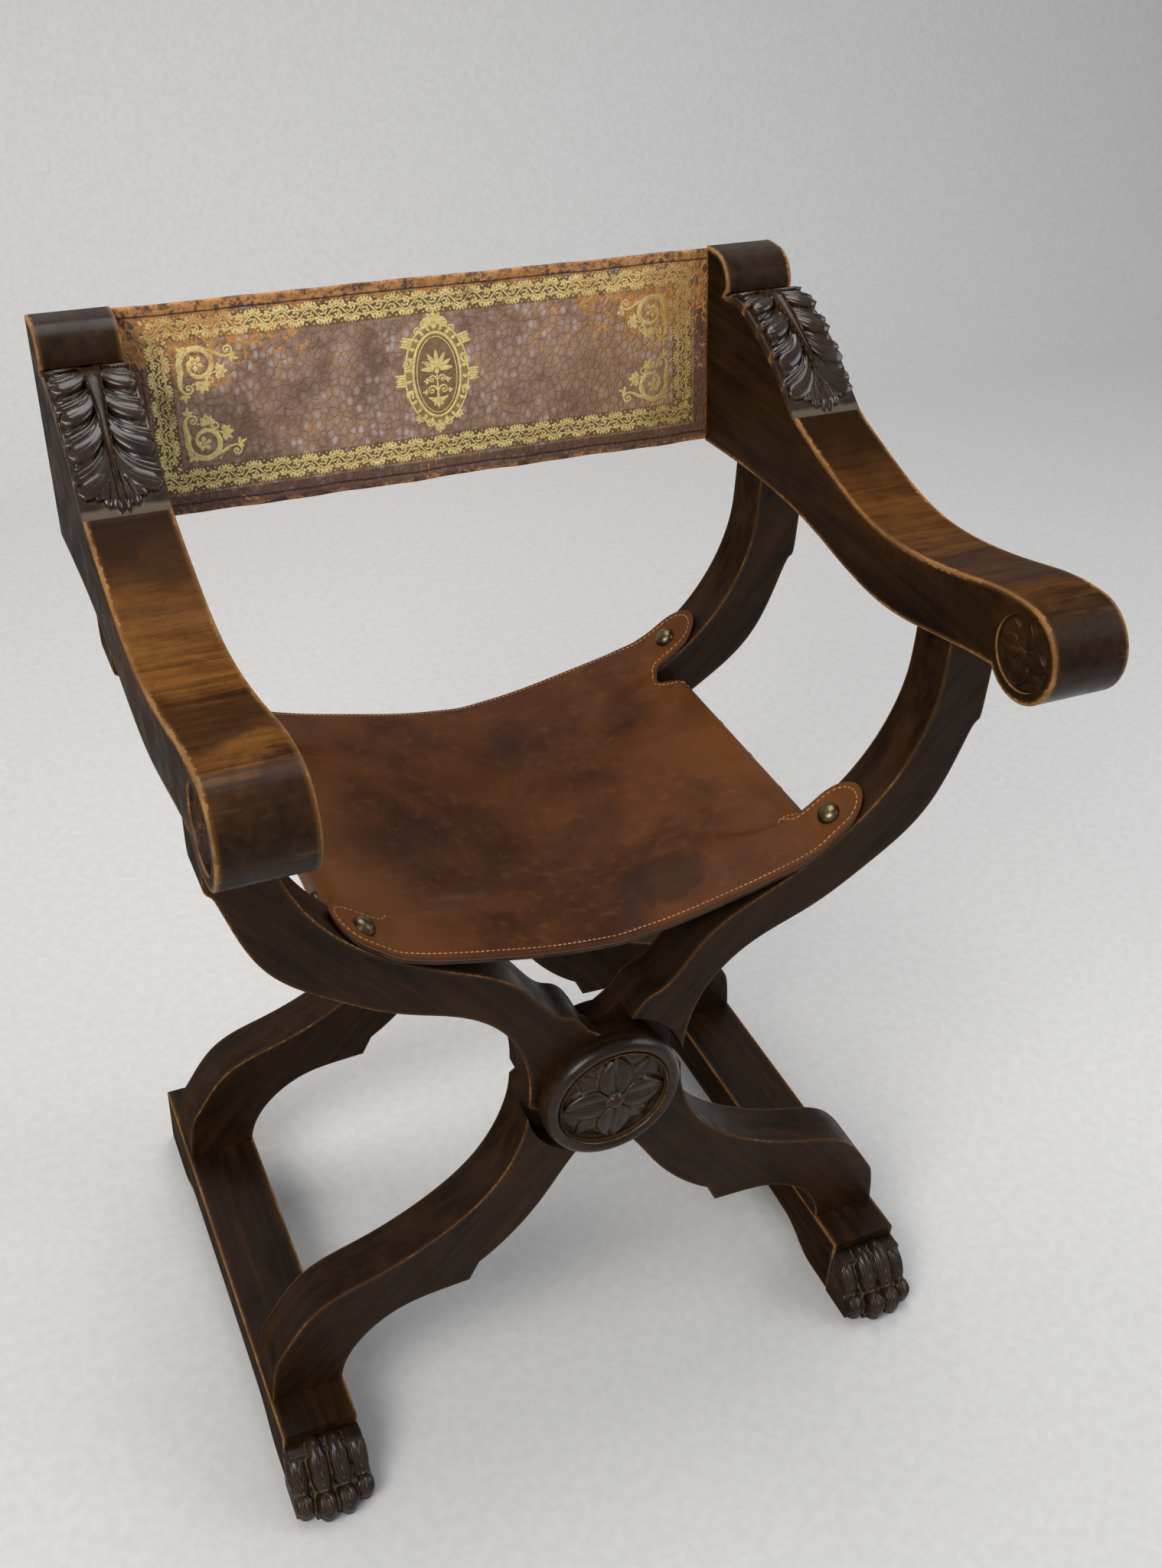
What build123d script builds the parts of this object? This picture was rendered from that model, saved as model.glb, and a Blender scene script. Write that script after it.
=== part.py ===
from build123d import *
import os
from math import atan2, cos, degrees, radians, sin

# Folding armchair of two crossed frames: every size in millimetres.
# X to the sitter's left (viewer's right), Y to the back, Z up, floor at Z = 0.
# Each frame is one member "a" (top left to bottom right) half-lapped over one
# member "b" (top right to bottom left); all "a" pieces fold against all "b" pieces.

os.makedirs("parts", exist_ok=True)

# ---- fits ---------------------------------------------------------------
RUNNING_GAP = 0.3          # between faces of pieces that move past each other
JOINERY_GAP = 0.1          # each side of a tenon in its mortise
PIN_GAP = 0.05             # radial, pivot pin in its bores
LEATHER_GAP = 0.2          # between the two layers of the seat
SHANK_GAP = 0.15           # each side of a nail's square shank
BLIND_SPACE = 1.0          # past the end of a tenon, dowel or shank

# ---- stance ---------------------------------------------------------------
HUB_Z = 341.0              # pivot height
FRAME_THICKNESS = 46.0
FRONT_FRAME_Y = -156.5     # front face of the front frame
REAR_FRAME_Y = 195.5       # rear face of the rear frame

# ---- runners and their paws ------------------------------------------------
RUNNER_OUTER_X = 311.0
RUNNER_WIDTH = 67.0
RUNNER_HEIGHT = 66.0
RUNNER_FRONT_Y = -195.5
RUNNER_REAR_Y = 247.5
ARCH_RISE = 20.0           # hollow under the runner
FRONT_PAD = 30.0           # flat sole at the front end
REAR_PAD = 52.0
ARCH_RAMP = 62.0           # length over which the sole rises to the arch
PAW_LIP = 5.0              # runner top above the paw block
PAW_BLOCK_DEPTH = 20.0
TOE_COUNT = 4
TOE_WIDTH = 17.5
TOE_SPREAD = 5.0           # toes stand wider than the runner by this much
INNER_TOE_REACH = 56.0     # runner end to the tip of a middle toe
OUTER_TOE_REACH = 47.0
OUTER_TOE_DROP = 6.0       # outer toes start lower
DOWEL_RADIUS = 5.0
DOWEL_LENGTH = 30.0
DOWEL_SPACING = 32.0

# ---- hub -------------------------------------------------------------------
WAIST_X = 71.5             # half width of the crossing
LAP_EDGE = 1.0             # lap recess beyond the waist
LAP_DISC_RADIUS = 59.0     # round floor of the notches
NOTCH_X = 20.0             # where an upper inner edge leaves the lap
NOTCH_RISE = 71.0
CROTCH_X = 25.0            # the same, between the legs
CROTCH_DROP = 71.0
PIN_RADIUS = 11.0
PIN_HEAD_RADIUS = 20.0
PIN_HEAD_THICKNESS = 8.0
SPIGOT_RADIUS = 6.0
SPIGOT_LENGTH = 8.0

# ---- roundels over the hubs ---------------------------------------------
ROUNDEL_RADIUS = 68.0
ROUNDEL_THICKNESS = 15.0
ROUNDEL_FIELD_RADIUS = 50.0
ROUNDEL_FIELD = 5.5        # thickness inside the moulded ring
PETAL_COUNT = 4
PETAL_LENGTH = 39.0
PETAL_WIDTH = 28.0
PETAL_RISE = 5.0
SEPAL_WIDTH = 17.0
SEPAL_RISE = 2.8
KNOB_RADIUS = 8.5
KNOB_RISE = 9.0

# ---- arms --------------------------------------------------------------
ARM_OUTER_X = 333.0
ARM_WIDTH = 66.0
ARM_UNDER_Z = 723.5        # flat underside at the back
BACK_FOOT_Y = 247.0        # lower rear corner
RECLINE = 9.3              # degrees that the rear face leans back
POST_HEIGHT = 176.5        # underside to the top of the roll
ROLL_RADIUS = 28.0
ROLL_FLAT = 17.5           # level top behind the roll
ROLL_UNDERCUT = 5.0
LEAF_BASE_Y = 91.0
LEAF_BASE_RISE = 82.5      # above the underside
SCROLL_Y = -243.3
SCROLL_RISE = 39.0         # scroll centre above the underside
SCROLL_RADIUS = 39.0
SCROLL_NECK_ANGLE = -42.0  # where the underside runs out of the scroll
HOLLOW_Y = 35.0            # front end of the flat underside
ROSETTE_RADIUS = 30.0
ROSETTE_DEPTH = 4.0
ROSETTE_PETALS = 6
ROSETTE_BOSS_RADIUS = 7.0

# ---- ends of the crossed members ------------------------------------------
TOP_OUTER_X = 320.5
TOP_INNER_X = 274.0
FOOT_OUTER_X = 309.0
FOOT_INNER_X = 245.0
TENON_THICKNESS = 24.0     # along Y
TENON_WIDTH = 28.0         # along X
TENON_LENGTH = 30.0

# ---- seat rails ------------------------------------------------------------
RAIL_OUTER_X = 203.0
RAIL_WIDTH = 24.0
RAIL_TOP_Z = 526.0
RAIL_HEIGHT = 28.0
RAIL_ROUND = 6.0
RAIL_TENON_WIDTH = 14.0
RAIL_TENON_HEIGHT = 18.0
RAIL_TENON_LENGTH = 18.0

# ---- leather -----------------------------------------------------------
SEAT_LEATHER = 4.5
SEAT_LINING = 3.5
SEAT_SAG = 32.0            # below the rails, near the frames
SEAT_DIP = 5.0             # further sag halfway back
SEAT_EDGE_SAG = 35.0       # below the tabs, along the front and rear edges
SEAT_OVERHANG = 5.0        # past the frames' outer faces
TAB_NAIL_X = 205.0
TAB_REACH = 22.0           # nail to the tab's tip
WRAP_DEPTH = 27.0          # down the outer face of a rail
WRAP_MARGIN = 12.0         # slit between a wrap and the tabs
BACK_LEATHER = 4.0
BACK_LEATHER_INSET = 0.5   # from the outer faces of the arms
BACK_LEATHER_TOP_MARGIN = 2.0
BACK_LEATHER_FOOT_MARGIN = 1.0

# ---- nails -------------------------------------------------------------
SEAT_NAIL_RADIUS = 10.0
BACK_NAIL_RADIUS = 7.0
NAIL_RISE = 0.35           # head height as a share of its radius
SHANK_SIDE = 3.0           # square shank
SHANK_LENGTH = 14.0        # into the wood
SIDE_NAIL_COUNT = 3
SIDE_NAIL_SPACING = 56.0
BACK_NAIL_COUNT = 5
BACK_NAIL_SPACING = 38.0

# Free curves of the members, as fractions of the box between two anchors:
# across from the first to the second, then up (or down) from the first.
UPPER_OUTER_CURVE = [(0.0, 0.06), (0.07, 0.22), (0.22, 0.314), (0.44, 0.376),
                     (0.66, 0.464), (0.87, 0.60), (0.975, 0.775)]
UPPER_INNER_CURVE = [(0.10, 0.075), (0.24, 0.21), (0.46, 0.325), (0.68, 0.43),
                     (0.83, 0.54), (0.94, 0.68), (0.995, 0.83)]
LEG_OUTER_CURVE = [(0.03, 0.15), (0.139, 0.319), (0.334, 0.456), (0.595, 0.558),
                   (0.83, 0.65), (0.945, 0.79)]
LEG_INNER_CURVE = [(0.16, 0.20), (0.33, 0.43), (0.56, 0.68)]
LEG_SOLE_CURVE = [(0.25, 0.02), (0.50, 0.08), (0.76, 0.30), (0.95, 0.68)]
CUSP = (0.466, 0.643)      # foot of the upper stretch under a leg
CUSP_STEP_ACROSS = 9.5     # ornamental step below it
CUSP_STEP_DOWN = 20.0

# Arm: height above the underside, as a share of the post's height, at
# fractions of the way to the scroll.
ARM_TOP_CURVE = [(0.07, 0.419), (0.25, 0.316), (0.43, 0.266), (0.59, 0.292),
                 (0.74, 0.351), (0.88, 0.419)]
ARM_UNDER_CURVE = [(0.20, 0.025), (0.38, -0.029), (0.56, -0.066), (0.83, -0.041)]

# Leaf: side outline as shares of its bed's length, and its lobes in pairs:
# along the bed, then distance from the rib, long and short radius as shares
# of the arm's width.
LEAF_CURVE = [(0.14, 0.045), (0.36, 0.128), (0.64, 0.166), (0.84, 0.147)]
LEAF_GROUND = 0.78         # height of the ground between lobes, as a share
LOBES = [(0.13, 0.15, 0.27, 0.13), (0.34, 0.24, 0.38, 0.145), (0.55, 0.26, 0.39, 0.145),
         (0.76, 0.26, 0.39, 0.145), (0.95, 0.24, 0.36, 0.13)]
LOBE_TILT = 42.0
LEAF_RIB_WIDTH = 9.0

# ---- places that follow ----------------------------------------------------
FRONT_BACK_Y = FRONT_FRAME_Y + FRAME_THICKNESS      # inner face, front frame
REAR_INNER_Y = REAR_FRAME_Y - FRAME_THICKNESS       # inner face, rear frame
FRONT_MID_Y = FRONT_FRAME_Y + FRAME_THICKNESS / 2
REAR_MID_Y = REAR_FRAME_Y - FRAME_THICKNESS / 2
MID_Y = (FRONT_BACK_Y + REAR_INNER_Y) / 2
LAP_RADIUS = WAIST_X + LAP_EDGE
ARM_INNER_X = ARM_OUTER_X - ARM_WIDTH
ARM_TOP_Z = ARM_UNDER_Z + POST_HEIGHT
BACK_TOP_Y = BACK_FOOT_Y + POST_HEIGHT * sin(radians(RECLINE)) / cos(radians(RECLINE))
RUNNER_MID_X = RUNNER_OUTER_X - RUNNER_WIDTH / 2
SEAT_THICKNESS = SEAT_LEATHER + SEAT_LINING
SLING_HALF_WIDTH = RAIL_OUTER_X - RAIL_WIDTH
ABOVE = 36.0                                        # spare stock, cut to a seat


def prism_y(face, y_from, y_to):
    """Face drawn in X and Z, made solid between two Y positions."""
    return Pos(0, y_from, 0) * extrude(Plane.XZ * face, -(y_to - y_from))


def prism_x(face, x_from, x_to):
    """Face drawn in Y and Z, made solid between two X positions."""
    start, end = sorted((x_from, x_to))
    return Pos(start, 0, 0) * extrude(Plane.YZ * face, end - start)


def block(x_from, x_to, y_from, y_to, z_from, z_to):
    """Plain block between two corners."""
    return Pos((x_from + x_to) / 2, (y_from + y_to) / 2, (z_from + z_to) / 2) * Box(
        abs(x_to - x_from), abs(y_to - y_from), abs(z_to - z_from))


def rod(radius, start, end):
    """Round rod from one point to another."""
    axis = Vector(*end) - Vector(*start)
    middle = (Vector(*start) + Vector(*end)) / 2
    return Plane(origin=middle, z_dir=axis) * Cylinder(radius, axis.length)


def placed(anchor, far, fractions):
    """Points of a free curve inside the box between two anchors."""
    return [(anchor[0] + u * (far[0] - anchor[0]), anchor[1] + v * (far[1] - anchor[1]))
            for u, v in fractions]


def flip_x(shape):
    """Mirror image across the middle of the chair."""
    return mirror(shape, about=Plane.YZ)


# ---- arm ---------------------------------------------------------------
def arm_outline():
    """Side outline of an arm, in Y and Z."""
    back_foot = (BACK_FOOT_Y, ARM_UNDER_Z)
    back_top = (BACK_TOP_Y, ARM_TOP_Z)
    roll_top = (BACK_TOP_Y - ROLL_FLAT, ARM_TOP_Z)
    roll_front = (roll_top[0] - ROLL_RADIUS, ARM_TOP_Z - ROLL_RADIUS)
    undercut = leaf_bed()[1]
    leaf_base = leaf_bed()[0]
    centre = (SCROLL_Y, ARM_UNDER_Z + SCROLL_RISE)
    scroll_top = (SCROLL_Y, centre[1] + SCROLL_RADIUS)
    neck_turn = radians(SCROLL_NECK_ANGLE)
    neck = (SCROLL_Y + SCROLL_RADIUS * cos(neck_turn), centre[1] + SCROLL_RADIUS * sin(neck_turn))
    hollow = (HOLLOW_Y, ARM_UNDER_Z)
    top = [(leaf_base[0] + u * (SCROLL_Y - leaf_base[0]), ARM_UNDER_Z + share * POST_HEIGHT)
           for u, share in ARM_TOP_CURVE]
    under = [(neck[0] + u * (HOLLOW_Y - neck[0]), ARM_UNDER_Z + share * POST_HEIGHT)
             for u, share in ARM_UNDER_CURVE]
    return make_face([
        Line(back_foot, back_top),
        Line(back_top, roll_top),
        RadiusArc(roll_top, roll_front, -ROLL_RADIUS),
        Line(roll_front, undercut),
        Line(undercut, leaf_base),
        Spline(leaf_base, *top, scroll_top, tangents=[(-1, -0.5), (-1, 0)]),
        CenterArc(centre, SCROLL_RADIUS, 90, 270 + SCROLL_NECK_ANGLE),
        Spline(neck, *under, hollow),
        Line(hollow, back_foot),
    ])


def leaf_bed():
    """Lower and upper end of the flat that the leaf is carved on, in Y and Z."""
    base = (LEAF_BASE_Y, ARM_UNDER_Z + LEAF_BASE_RISE)
    roll_front_y = BACK_TOP_Y - ROLL_FLAT - ROLL_RADIUS
    upper = (roll_front_y + ROLL_UNDERCUT, ARM_TOP_Z - ROLL_RADIUS - ROLL_UNDERCUT)
    return base, upper


def leaf():
    """Acanthus leaf in relief: a swelling ground with paired lobes and a rib."""
    (base_y, base_z), (upper_y, upper_z) = leaf_bed()
    length = ((upper_y - base_y) ** 2 + (upper_z - base_z) ** 2) ** 0.5
    slope = degrees(atan2(upper_z - base_z, upper_y - base_y))
    half_width = ARM_WIDTH / 2

    def swelling(share):
        swell = [(u * length, height * length * share) for u, height in LEAF_CURVE]
        side = make_face([Spline((0, 0), *swell, (length, 0)), Line((length, 0), (0, 0))])
        return prism_x(Pos(base_y, base_z) * Rot(0, 0, slope) * side, -half_width, half_width)

    plan = Pos(0, length / 2) * Rectangle(LEAF_RIB_WIDTH, length)
    for along, out, long_radius, short_radius in LOBES:
        for hand in (-1, 1):
            lobe = Ellipse(long_radius * ARM_WIDTH, short_radius * ARM_WIDTH)
            plan += Pos(hand * out * ARM_WIDTH, along * length) * Rot(0, 0, hand * (90 - LOBE_TILT)) * lobe
    bed = Plane(origin=(0, base_y, base_z), x_dir=(1, 0, 0),
                z_dir=(0, -sin(radians(slope)), cos(radians(slope))))
    return swelling(LEAF_GROUND) + (swelling(1.0) & extrude(bed * plan, ARM_WIDTH))


def rosette(face_x, inward):
    """Sunk rosette for one side of a scroll: the recess, less its petals and boss."""
    centre = (SCROLL_Y, ARM_UNDER_Z + SCROLL_RISE)
    recess = prism_x(Pos(*centre) * Circle(ROSETTE_RADIUS), 0, ROSETTE_DEPTH)
    petal_reach = ROSETTE_RADIUS - ROSETTE_BOSS_RADIUS
    petal = Pos(ROSETTE_BOSS_RADIUS + petal_reach / 2, 0) * Ellipse(petal_reach / 2 - 1, petal_reach / 4)
    for turn in range(ROSETTE_PETALS):
        spread = Pos(*centre) * Rot(0, 0, 360 / ROSETTE_PETALS * turn) * petal
        recess -= prism_x(spread, ROSETTE_DEPTH / 2, ROSETTE_DEPTH)
    boss = Plane.YZ * Pos(*centre) * Circle(ROSETTE_BOSS_RADIUS)
    recess -= extrude(boss, ROSETTE_DEPTH, taper=-20)
    return Pos(face_x, 0, 0) * (recess if inward > 0 else flip_x(recess))


def arm_stock():
    """Right arm before its mortises."""
    return prism_x(arm_outline(), ARM_INNER_X, ARM_OUTER_X)


def arm_tenon(frame_mid_y, gap=0.0):
    """Tenon of a member's top end in the right arm, or its mortise with a gap."""
    mid_x = (TOP_INNER_X + TOP_OUTER_X) / 2
    half_x = TENON_WIDTH / 2 + gap
    half_y = TENON_THICKNESS / 2 + gap
    depth = TENON_LENGTH + (BLIND_SPACE if gap else 0.0)
    return block(mid_x - half_x, mid_x + half_x, frame_mid_y - half_y, frame_mid_y + half_y,
                 ARM_UNDER_Z - TENON_LENGTH, ARM_UNDER_Z + depth)


def right_arm():
    arm = arm_stock() + Pos((ARM_INNER_X + ARM_OUTER_X) / 2, 0, 0) * leaf()
    arm -= rosette(ARM_INNER_X, 1)
    arm -= rosette(ARM_OUTER_X, -1)
    for frame_mid_y in (FRONT_MID_Y, REAR_MID_Y):
        arm -= arm_tenon(frame_mid_y, JOINERY_GAP)
    for nail in back_nail_places():
        arm -= shank_hole(nail, BACK_LEATHER)
    return arm


# ---- crossed members ---------------------------------------------------
def member_outline():
    """Front outline of a member "a", in X and Z, with spare stock at its top."""
    notch = (NOTCH_X, HUB_Z + NOTCH_RISE)
    crotch = (CROTCH_X, HUB_Z - CROTCH_DROP)
    waist = (WAIST_X, HUB_Z)
    top_outer = (TOP_OUTER_X, ARM_UNDER_Z)
    top_inner = (TOP_INNER_X, ARM_UNDER_Z)
    foot_outer = (FOOT_OUTER_X, RUNNER_HEIGHT)
    foot_inner = (FOOT_INNER_X, RUNNER_HEIGHT)
    cusp = placed((0, HUB_Z), foot_inner, [CUSP])[0]
    step = (cusp[0] + CUSP_STEP_ACROSS, cusp[1] - CUSP_STEP_DOWN)

    def left(point):
        return (-point[0], point[1])

    upper_inner = [left(p) for p in placed(notch, top_inner, UPPER_INNER_CURVE)]
    upper_outer = [left(p) for p in placed(waist, top_outer, UPPER_OUTER_CURVE)]
    leg_outer = placed(waist, foot_outer, LEG_OUTER_CURVE)
    leg_inner = placed(crotch, cusp, LEG_INNER_CURVE)
    leg_sole = placed(step, foot_inner, LEG_SOLE_CURVE)
    spare_inner = (-TOP_INNER_X, ARM_UNDER_Z + ABOVE)
    spare_outer = (-TOP_OUTER_X, ARM_UNDER_Z + ABOVE)
    return make_face([
        Line(spare_inner, left(top_inner)),
        Spline(left(top_inner), *reversed(upper_inner), left(notch), tangents=[(0, -1), (0.5, -1)]),
        Line(left(notch), waist),
        Spline(waist, *leg_outer, foot_outer, tangents=[(0, -1), (0.1, -1)]),
        Line(foot_outer, foot_inner),
        Spline(foot_inner, *reversed(leg_sole), step),
        Line(step, cusp),
        Spline(cusp, *reversed(leg_inner), crotch),
        Line(crotch, left(waist)),
        Spline(left(waist), *upper_outer, left(top_outer), tangents=[(0, 1), (0, 1)]),
        Line(left(top_outer), spare_outer),
        Line(spare_outer, spare_inner),
    ])


def foot_tenon(frame_mid_y, gap=0.0):
    """Tenon of a member's foot in the right runner, or its mortise with a gap."""
    mid_x = (FOOT_INNER_X + FOOT_OUTER_X) / 2
    half_x = TENON_WIDTH / 2 + gap
    half_y = TENON_THICKNESS / 2 + gap
    depth = TENON_LENGTH + (BLIND_SPACE if gap else 0.0)
    return block(mid_x - half_x, mid_x + half_x, frame_mid_y - half_y, frame_mid_y + half_y,
                 RUNNER_HEIGHT - depth, RUNNER_HEIGHT + (0.0 if gap else TENON_LENGTH))


def member(outer_y, inner_y, keeps_outer):
    """Member "a" of the frame whose outer and inner faces are given."""
    mid_y = (outer_y + inner_y) / 2
    disc = Pos(0, HUB_Z) * Circle(LAP_DISC_RADIUS)
    low_y, high_y = sorted((outer_y, inner_y))
    piece = prism_y(member_outline() + disc, low_y, high_y)
    piece -= flip_x(arm_stock())
    outward = 1 if outer_y > inner_y else -1
    kept_side = outward if keeps_outer else -outward
    lap_face = mid_y + kept_side * RUNNING_GAP / 2
    far_y = mid_y - kept_side * FRAME_THICKNESS
    recess_from, recess_to = sorted((lap_face, far_y))
    piece -= rod(LAP_RADIUS, (0, recess_from, HUB_Z), (0, recess_to, HUB_Z))
    piece -= rod(PIN_RADIUS + PIN_GAP, (0, low_y - 1, HUB_Z), (0, high_y + 1, HUB_Z))
    piece += flip_x(arm_tenon(mid_y)) + foot_tenon(mid_y)
    piece -= flip_x(rail_tenon(outer_y, inner_y, JOINERY_GAP))
    return piece - flip_x(shank_hole(tab_nail_place(mid_y), SEAT_THICKNESS))


# ---- seat rails ---------------------------------------------------------
def rail_tenon(outer_y, inner_y, gap=0.0):
    """Stub tenon of the right rail in a frame's inner face."""
    outward = 1 if outer_y > inner_y else -1
    mid_x = RAIL_OUTER_X - RAIL_WIDTH / 2
    mid_z = RAIL_TOP_Z - RAIL_HEIGHT / 2
    half_x = RAIL_TENON_WIDTH / 2 + gap
    half_z = RAIL_TENON_HEIGHT / 2 + gap
    depth = RAIL_TENON_LENGTH + (BLIND_SPACE if gap else 0.0)
    return block(mid_x - half_x, mid_x + half_x, inner_y, inner_y + outward * depth,
                 mid_z - half_z, mid_z + half_z)


def right_seat_rail():
    """Rail between the frames that the seat leather wraps over."""
    inner_x = RAIL_OUTER_X - RAIL_WIDTH
    section = Pos((inner_x + RAIL_OUTER_X) / 2, RAIL_TOP_Z - RAIL_HEIGHT / 2) * RectangleRounded(
        RAIL_WIDTH, RAIL_HEIGHT, RAIL_ROUND)
    rail = prism_y(section, FRONT_BACK_Y, REAR_INNER_Y)
    rail += rail_tenon(FRONT_FRAME_Y, FRONT_BACK_Y) + rail_tenon(REAR_FRAME_Y, REAR_INNER_Y)
    for place in side_nail_places():
        rail -= shank_hole(place, SEAT_THICKNESS)
    return rail


# ---- runners and paws --------------------------------------------------
def right_runner():
    """Sledge foot: flat pads at its ends and a shallow arch between them."""
    front_pad_end = RUNNER_FRONT_Y + FRONT_PAD
    rear_pad_end = RUNNER_REAR_Y - REAR_PAD
    front_crown = (front_pad_end + ARCH_RAMP, ARCH_RISE)
    rear_crown = (rear_pad_end - ARCH_RAMP, ARCH_RISE)
    side = make_face([
        Line((RUNNER_FRONT_Y, 0), (RUNNER_FRONT_Y, RUNNER_HEIGHT)),
        Line((RUNNER_FRONT_Y, RUNNER_HEIGHT), (RUNNER_REAR_Y, RUNNER_HEIGHT)),
        Line((RUNNER_REAR_Y, RUNNER_HEIGHT), (RUNNER_REAR_Y, 0)),
        Line((RUNNER_REAR_Y, 0), (rear_pad_end, 0)),
        Spline((rear_pad_end, 0), rear_crown, tangents=[(-1, 0), (-1, 0)]),
        Line(rear_crown, front_crown),
        Spline(front_crown, (front_pad_end, 0), tangents=[(-1, 0), (-1, 0)]),
        Line((front_pad_end, 0), (RUNNER_FRONT_Y, 0)),
    ])
    runner = prism_x(side, RUNNER_OUTER_X - RUNNER_WIDTH, RUNNER_OUTER_X)
    for frame_mid_y in (FRONT_MID_Y, REAR_MID_Y):
        runner -= foot_tenon(frame_mid_y, JOINERY_GAP)
    for dowel in paw_dowel_places():
        runner -= dowel_bore(dowel)
    return runner


def paw_dowel_places():
    """Centres of the two dowels between a paw and its runner."""
    height = RUNNER_HEIGHT * 0.42
    return [(RUNNER_MID_X + side * DOWEL_SPACING / 2, RUNNER_FRONT_Y, height) for side in (-1, 1)]


def dowel_bore(place):
    """Bore for one dowel, in the runner and in the paw alike."""
    reach = DOWEL_LENGTH / 2 + BLIND_SPACE
    x, y, z = place
    return rod(DOWEL_RADIUS + PIN_GAP, (x, y - reach, z), (x, y + reach, z))


def right_paw_dowels():
    half = DOWEL_LENGTH / 2
    return [rod(DOWEL_RADIUS, (x, y - half, z), (x, y + half, z)) for x, y, z in paw_dowel_places()]


def toe(reach, top):
    """One toe at X = 0, from the runner's end forwards: two knuckles and a claw."""
    back_y = RUNNER_FRONT_Y
    tip_y = RUNNER_FRONT_Y - reach
    bend = (RUNNER_FRONT_Y - reach * 0.70, top * 0.53)
    side = make_face([
        Line((back_y, 0), (back_y, top)),
        Line((back_y, top), (back_y - reach * 0.25, top)),
        ThreePointArc((back_y - reach * 0.25, top), (back_y - reach * 0.60, top * 0.86), bend),
        ThreePointArc(bend, (tip_y + reach * 0.02, top * 0.30), (tip_y + reach * 0.06, top * 0.06)),
        Line((tip_y + reach * 0.06, top * 0.06), (tip_y + reach * 0.10, 0)),
        Line((tip_y + reach * 0.10, 0), (back_y, 0)),
    ])
    half = TOE_WIDTH / 2
    plan = Pos(0, back_y - reach / 2) * RectangleRounded(TOE_WIDTH, reach, half * 0.8)
    plan += Pos(0, back_y - reach / 4) * Rectangle(TOE_WIDTH, reach / 2)
    front = Pos(0, top / 2) * RectangleRounded(TOE_WIDTH, top, half * 0.75)
    front += Pos(0, top / 4) * Rectangle(TOE_WIDTH, top / 2)
    shape = prism_x(side, -half, half) & extrude(plan, top)
    return shape & prism_y(front, tip_y, back_y)


def right_paw():
    """Lion's paw: a heel block with four toes."""
    height = RUNNER_HEIGHT - PAW_LIP
    heel_half = RUNNER_WIDTH / 2
    paw = block(RUNNER_MID_X - heel_half, RUNNER_MID_X + heel_half,
                RUNNER_FRONT_Y - PAW_BLOCK_DEPTH, RUNNER_FRONT_Y, 0, height - OUTER_TOE_DROP)
    pitch = (RUNNER_WIDTH + TOE_SPREAD - TOE_WIDTH) / (TOE_COUNT - 1)
    for place in range(TOE_COUNT):
        x = RUNNER_MID_X + (place - (TOE_COUNT - 1) / 2) * pitch
        if 0 < place < TOE_COUNT - 1:
            paw += Pos(x, 0, 0) * toe(INNER_TOE_REACH, height)
        else:
            paw += Pos(x, 0, 0) * toe(OUTER_TOE_REACH, height - OUTER_TOE_DROP)
    for dowel in paw_dowel_places():
        paw -= dowel_bore(dowel)
    return paw


# ---- hubs --------------------------------------------------------------
def pivot_pin(outer_y, inner_y):
    """Turned pin through one lap, headed inside and with a spigot outside."""
    outward = 1 if outer_y > inner_y else -1
    head_from = inner_y - outward * RUNNING_GAP
    head_to = head_from - outward * PIN_HEAD_THICKNESS
    pin = rod(PIN_RADIUS, (0, head_from, HUB_Z), (0, outer_y, HUB_Z))
    pin += rod(SPIGOT_RADIUS, (0, outer_y, HUB_Z), (0, outer_y + outward * SPIGOT_LENGTH, HUB_Z))
    head = rod(PIN_HEAD_RADIUS, (0, head_from, HUB_Z), (0, head_to, HUB_Z))
    rim = head.edges().filter_by(GeomType.CIRCLE).sort_by(Axis.Y)[-1 if head_to > head_from else 0]
    return pin + chamfer(rim, PIN_HEAD_THICKNESS * 0.5)


def roundel():
    """Turned patera with a four-petalled flower, its back on the XY plane."""
    ring_top = (ROUNDEL_RADIUS + ROUNDEL_FIELD_RADIUS) / 2 + 1
    section = make_face(Polyline(
        (0, 0), (ROUNDEL_RADIUS, 0), (ROUNDEL_RADIUS, ROUNDEL_THICKNESS * 0.45),
        (ROUNDEL_RADIUS - 2.5, ROUNDEL_THICKNESS * 0.8), (ring_top + 2, ROUNDEL_THICKNESS),
        (ring_top - 3, ROUNDEL_THICKNESS), (ROUNDEL_FIELD_RADIUS + 2.5, ROUNDEL_THICKNESS * 0.75),
        (ROUNDEL_FIELD_RADIUS, ROUNDEL_FIELD), (0, ROUNDEL_FIELD), close=True))
    disc = revolve(Plane.XZ * section, Axis.Z)
    for turn in range(PETAL_COUNT):
        angle = 360 / PETAL_COUNT * turn
        disc += Rot(0, 0, angle) * petal(PETAL_WIDTH, PETAL_RISE)
        disc += Rot(0, 0, angle + 180 / PETAL_COUNT) * petal(SEPAL_WIDTH, SEPAL_RISE)
    disc += Pos(0, 0, ROUNDEL_FIELD) * extrude(Circle(KNOB_RADIUS), KNOB_RISE, taper=18)
    return disc - rod(SPIGOT_RADIUS + PIN_GAP, (0, 0, 0), (0, 0, SPIGOT_LENGTH + PIN_GAP))


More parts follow.
